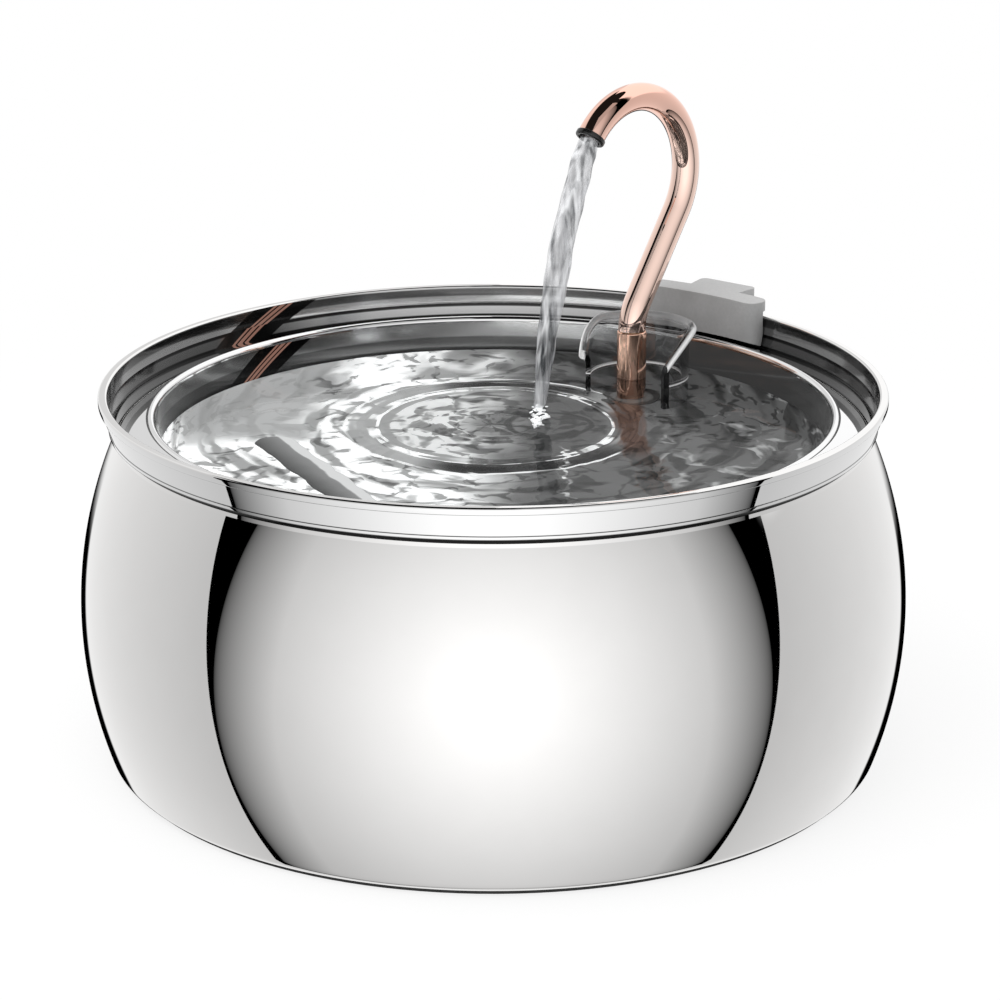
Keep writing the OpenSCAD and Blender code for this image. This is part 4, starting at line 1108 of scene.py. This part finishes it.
pool = shaped_by(
    water_shape(),
    ripple_tree(),
    {
        "Level": WATER_Z,
        "Ring Radius": RING_R,
        "Ring Height": mm(0.2),
        "Ring Width": mm(1.5),
        "Wavelet": mm(18),
        "Wavelet Height": mm(0.36),
        "Wall Radius": mm(96),
        "Open Radius": mm(86),
        "Ring Centre": (*RING_AT, 0.0),
        "Material": water,
    },
)
place(pool, "tray", water, "clear_plastic")
# Under the tray's slot the water is deep, and dark with painted shade
pool.data.materials.append(painted_deep_shade())
for face in pool.data.polygons:
    if face.center.z < TRAY_FLOOR:
        face.material_index = 1


def stream_line(steps):
    """The falling water's middle line, from inside the mouth to under the surface."""
    drop, bend = 2.15, 0.0033 / mm(1) ** 2
    tip_s = mouth[0] + MOUTH_L * math.sin(mouth[2])
    tip_z = mouth[1] + MOUTH_L * math.cos(mouth[2])
    fall = tip_z - WATER_Z + mm(1.5)
    reach = mm(20)
    for _ in range(20):
        reach -= (drop * reach + bend * reach**3 - fall) / (drop + 3 * bend * reach**2)
    line = [(mouth[0], mouth[1], 0.0)]
    for i in range(steps + 1):
        u = reach * i / steps
        h = drop * u + bend * u**3
        line.append((tip_s - u, tip_z - h, h / fall))
    return line


def stream_shape():
    """A falling strand of water, three-lobed and slowly twisting as it thins."""
    sides = 40
    widths = ((0.0, 3.05), (0.06, 3.75), (0.5, 3.4), (0.8, 2.8), (1.0, 1.9))
    hoops = []
    for s, z, t in stream_line(150):
        for (t0, r0), (t1, r1) in zip(widths, widths[1:]):
            if t0 <= t <= t1:
                r = mm(r0 + (r1 - r0) * (t - t0) / (t1 - t0))
        hoop_points = []
        for k in range(sides):
            a = 2 * math.pi * k / sides
            swirl = 0.07 * math.sin(2 * a + 7 * t) + 0.05 * math.sin(3 * a - 17 * t + 1)
            bulge = 0.03 * math.sin(5 * a + 41 * t) + 0.02 * math.sin(60 * t + a)
            q = r * (1 + min(1, t * 20) * (swirl + bulge))
            hoop_points.append(in_neck_plane(s + q * math.cos(a), q * math.sin(a), z))
        hoops.append(hoop_points)
    points, faces = swept(hoops)
    last = len(hoops) - 1
    faces += [list(range(sides))[::-1], [last * sides + j for j in range(sides)]]
    return mesh_of("water_stream", points, faces)


stream = stream_shape()
place(stream, "spout", stream_water, "clear_plastic")


def splash_tree():
    """Air bubbles strewn down from a patch of the surface, each of its own size."""
    sizes = dict.fromkeys(("Density", "Smallest", "Largest", "Spread", "Depth"), "Float")
    tree, given = shape_tree("bubbles", {**sizes, "Seed": "Int"})
    seed, spread = given["Seed"], given["Spread"]
    strewing = {"Mesh": given["Geometry"], "Density": given["Density"], "Seed": seed}
    spots = add(tree, "GeometryNodeDistributePointsOnFaces", strewing)
    between = {2: given["Smallest"], 3: given["Largest"], "Seed": seed}
    size = add(tree, "FunctionNodeRandomValue", between, 1, data_type="FLOAT")
    less = add(tree, MATH, (spread, -1.0), operation="MULTIPLY")
    down = add(tree, MATH, (given["Depth"], -1.0), operation="MULTIPLY")
    lowest = add(tree, "ShaderNodeCombineXYZ", (less, less, down))
    highest = add(tree, "ShaderNodeCombineXYZ", (spread, spread))
    between = {0: lowest, 1: highest, "Seed": seed}
    drop = add(tree, "FunctionNodeRandomValue", between, data_type="FLOAT_VECTOR")
    spots = add(tree, "GeometryNodeSetPosition", {"Geometry": spots, "Offset": drop})
    ball = add(tree, "GeometryNodeMeshIcoSphere", {"Radius": 1.0, "Subdivisions": 3})
    strewn = {"Points": spots, "Instance": ball, "Scale": size}
    return shape_out(tree, given, add(tree, "GeometryNodeInstanceOnPoints", strewn))


landing = in_neck_plane(stream_line(1)[-1][0], 0, WATER_Z)
bubble_top = WATER_Z - mm(0.9)
entry = [(landing[0] + x, landing[1] + y, bubble_top) for x, y in arc((0, 0), mm(1.6), 0, 345, 23)]
bubbles = shaped_by(
    mesh_of("bubbles", entry, [list(range(len(entry)))]),
    splash_tree(),
    {
        "Density": 2.4e7,
        "Smallest": mm(0.15),
        "Largest": mm(0.65),
        "Spread": mm(1.0),
        "Depth": mm(20),
        "Seed": 5,
        "Material": air_bubbles,
    },
)
place(bubbles, "spout", air_bubbles, "clear_plastic")


# ---- Studio ----

CAMERA_AT = Vector((mm(1.90), mm(-947.65), mm(388.58)))
LOOKING_DOWN = math.radians(18.3476)
LENS = 123.74


def make_camera():
    data = bpy.data.cameras.new("camera")
    data.lens = LENS
    data.sensor_width = 36
    camera = bpy.data.objects.new("camera", data)
    camera.location = CAMERA_AT
    camera.rotation_euler = (math.pi / 2 - LOOKING_DOWN, 0, 0)
    scene.collection.objects.link(camera)
    scene.camera = camera


def studio_world():
    """A white studio as polished metal sees it: a glow in front, two black flags, pale sides."""
    world = bpy.data.worlds.new("studio")
    scene.world = world
    world.use_nodes = True
    tree = world.node_tree
    tree.nodes.clear()
    # Each direction is given in degrees: how far round from the front, and how far up
    facing = add(tree, "ShaderNodeTexCoord", out="Generated")
    x, y, z = add(tree, SPLIT, (facing,)).node.outputs
    front = add(tree, MATH, (y, -1.0), operation="MULTIPLY")
    turn = add(tree, MATH, (x, front), operation="ARCTAN2")
    turn = add(tree, MATH, (turn,), operation="DEGREES")
    side = add(tree, MATH, (turn,), operation="ABSOLUTE")
    rise = add(tree, MATH, (z,), operation="ARCSINE")
    rise = add(tree, MATH, (rise,), operation="DEGREES")

    # Each flag is a slanted wedge: its inner edge runs straight, its outer edge bows
    inner = add(tree, MATH, (rise, -0.15, 77.8), operation="MULTIPLY_ADD")
    low = add(tree, MATH, (rise, 13.0), operation="ADD")
    bow = add(tree, MATH, (low, low), operation="MULTIPLY")
    outer = add(tree, MATH, (bow, 0.0045, 82.1), operation="MULTIPLY_ADD")

    # The front glow falls off away from its middle, and fades into the flags
    glow_drop = math.radians(8)
    glow_at = (0.0, -math.cos(glow_drop), -math.sin(glow_drop))
    away = add(tree, VECTOR, (facing, glow_at), "Value", operation="DOT_PRODUCT")
    away = add(tree, MATH, (away,), operation="ARCCOSINE")
    away = add(tree, MATH, (away,), operation="DEGREES")
    glow = add(tree, RANGE, (away, 14.0, 80.0, 1.05, 0.38))
    gap = add(tree, MATH, (inner, side), operation="SUBTRACT")
    near = add(tree, RANGE, (gap, 0.0, 20.0))
    fade = add(tree, MATH, (near, 0.45), operation="POWER")
    before = add(tree, MATH, (glow, fade), operation="MULTIPLY")
    behind = add(tree, RANGE, (side, 85.0, 150.0, 0.53, 0.80))
    past = add(tree, MATH, (side, outer), operation="GREATER_THAN")
    level = add(tree, MIX, {0: past, 2: before, 3: behind})

    # A dark edge low behind the bowl draws the thin line along its two sides. A white panel
    # stands above the right; level with the rim it is brighter at the right than at the left
    rim_high = [(rise, 2.0, 8.0), (rise, 34.0, 27.0)]
    for strength, *spans in (
        (0.0, (side, 153.0, 156.0), (rise, -10.0, -16.0), (rise, -38.0, -30.0)),
        (0.99, (turn, 84.0, 92.0), (rise, 14.0, 22.0)),
        (0.95, (turn, 151.0, 157.0), *rim_high),
        (0.66, (turn, -151.0, -157.0), *rim_high),
    ):
        level = add(tree, MIX, {0: patch(tree, *spans), 2: level, 3: strength})

    # Overhead it is black, but for a dim panel to the right and a pale one at the far right
    ceiling = 0.01
    for from_turn, to_turn, to_rise, strength in ((10.0, 75.0, 68.0, 0.4), (88.0, 181.0, 60.0, 1.0)):
        panel = add(tree, MATH, (rise, to_rise), operation="LESS_THAN")
        for edge, which in ((from_turn, "GREATER_THAN"), (to_turn, "LESS_THAN")):
            within = add(tree, MATH, (turn, edge), operation=which)
            panel = add(tree, MATH, (panel, within), operation="MULTIPLY")
        ceiling = add(tree, MIX, {0: panel, 2: ceiling, 3: strength})
    level = add(tree, MIX, {0: patch(tree, (rise, 45.0, 49.0)), 2: level, 3: ceiling})
    level = add(tree, MATH, (level, 1 / STEEL), operation="MULTIPLY")

    # Plain surfaces are lit softly, more from above; what is seen straight behind is white
    ray = add(tree, "ShaderNodeLightPath").node.outputs
    soft = add(tree, RANGE, (rise, -20.0, 60.0, 0.3, 1.1))
    level = add(tree, MIX, {0: ray["Is Diffuse Ray"], 2: level, 3: soft})
    seen = add(tree, "ShaderNodeBackground", {"Color": WHITE, "Strength": level})
    white = add(tree, "ShaderNodeBackground", {"Color": WHITE, "Strength": 1.0})
    below = add(tree, MATH, (rise, 2.0), operation="LESS_THAN")
    ahead = add(tree, MATH, (side, 166.0), operation="GREATER_THAN")
    through = add(tree, MATH, (ray["Is Transmission Ray"], below), operation="MULTIPLY")
    through = add(tree, MATH, (through, ahead), operation="MULTIPLY")
    straight = add(tree, MATH, (ray["Is Camera Ray"], through), operation="MAXIMUM")
    mixed = add(tree, "ShaderNodeMixShader", (straight, seen, white))
    add(tree, "ShaderNodeOutputWorld", {"Surface": mixed})


def make_floor():
    """A white floor that fades into the white behind it and keeps a soft shadow."""
    made, tree, bsdf, where = finish("white_floor", Roughness=0.9, Base_Color=colour("#F4F4F4"))
    glow = add(tree, "ShaderNodeEmission", {"Color": WHITE, "Strength": 1.0})
    out = add(tree, VECTOR, (where,), "Value", operation="LENGTH")
    far = add(tree, RANGE, (out, 0.15, 0.5, 0.8, 1.0))
    ray = add(tree, "ShaderNodeLightPath").node.outputs
    seen = add(tree, MATH, (ray["Is Camera Ray"], ray["Is Transmission Ray"]), operation="MAXIMUM")
    share = add(tree, MATH, (far, seen), operation="MULTIPLY")
    mixed = add(tree, "ShaderNodeMixShader", (share, bsdf.outputs[0], glow))
    fill(tree, tree.nodes["Material Output"], {"Surface": mixed})
    half = 4.0
    corners = [(-half, -half, 0), (half, -half, 0), (half, half, 0), (-half, half, 0)]
    mesh = bpy.data.meshes.new("floor")
    mesh.from_pydata(corners, [], [[0, 1, 2, 3]])
    mesh.materials.append(made)
    floor = bpy.data.objects.new("floor", mesh)
    scene.collection.objects.link(floor)
    # The steel mirrors the studio's own pale sweep, so the plane is kept out of reflections
    floor.visible_glossy = False


def overhead_light():
    """A broad soft lamp above for the plain surfaces; the metal doesn't mirror it."""
    data = bpy.data.lights.new("overhead", "AREA")
    data.shape = "DISK"
    data.size = 0.8
    data.energy = 6
    lamp = bpy.data.objects.new("overhead", data)
    lamp.location = (-0.25, -0.35, 1.1)
    lamp.rotation_euler = (Vector((0, 0, 0.06)) - lamp.location).to_track_quat("-Z", "Y").to_euler()
    lamp.visible_glossy = False
    lamp.visible_transmission = False
    scene.collection.objects.link(lamp)


make_camera()
studio_world()
make_floor()
overhead_light()
scene.view_settings.view_transform = "Standard"
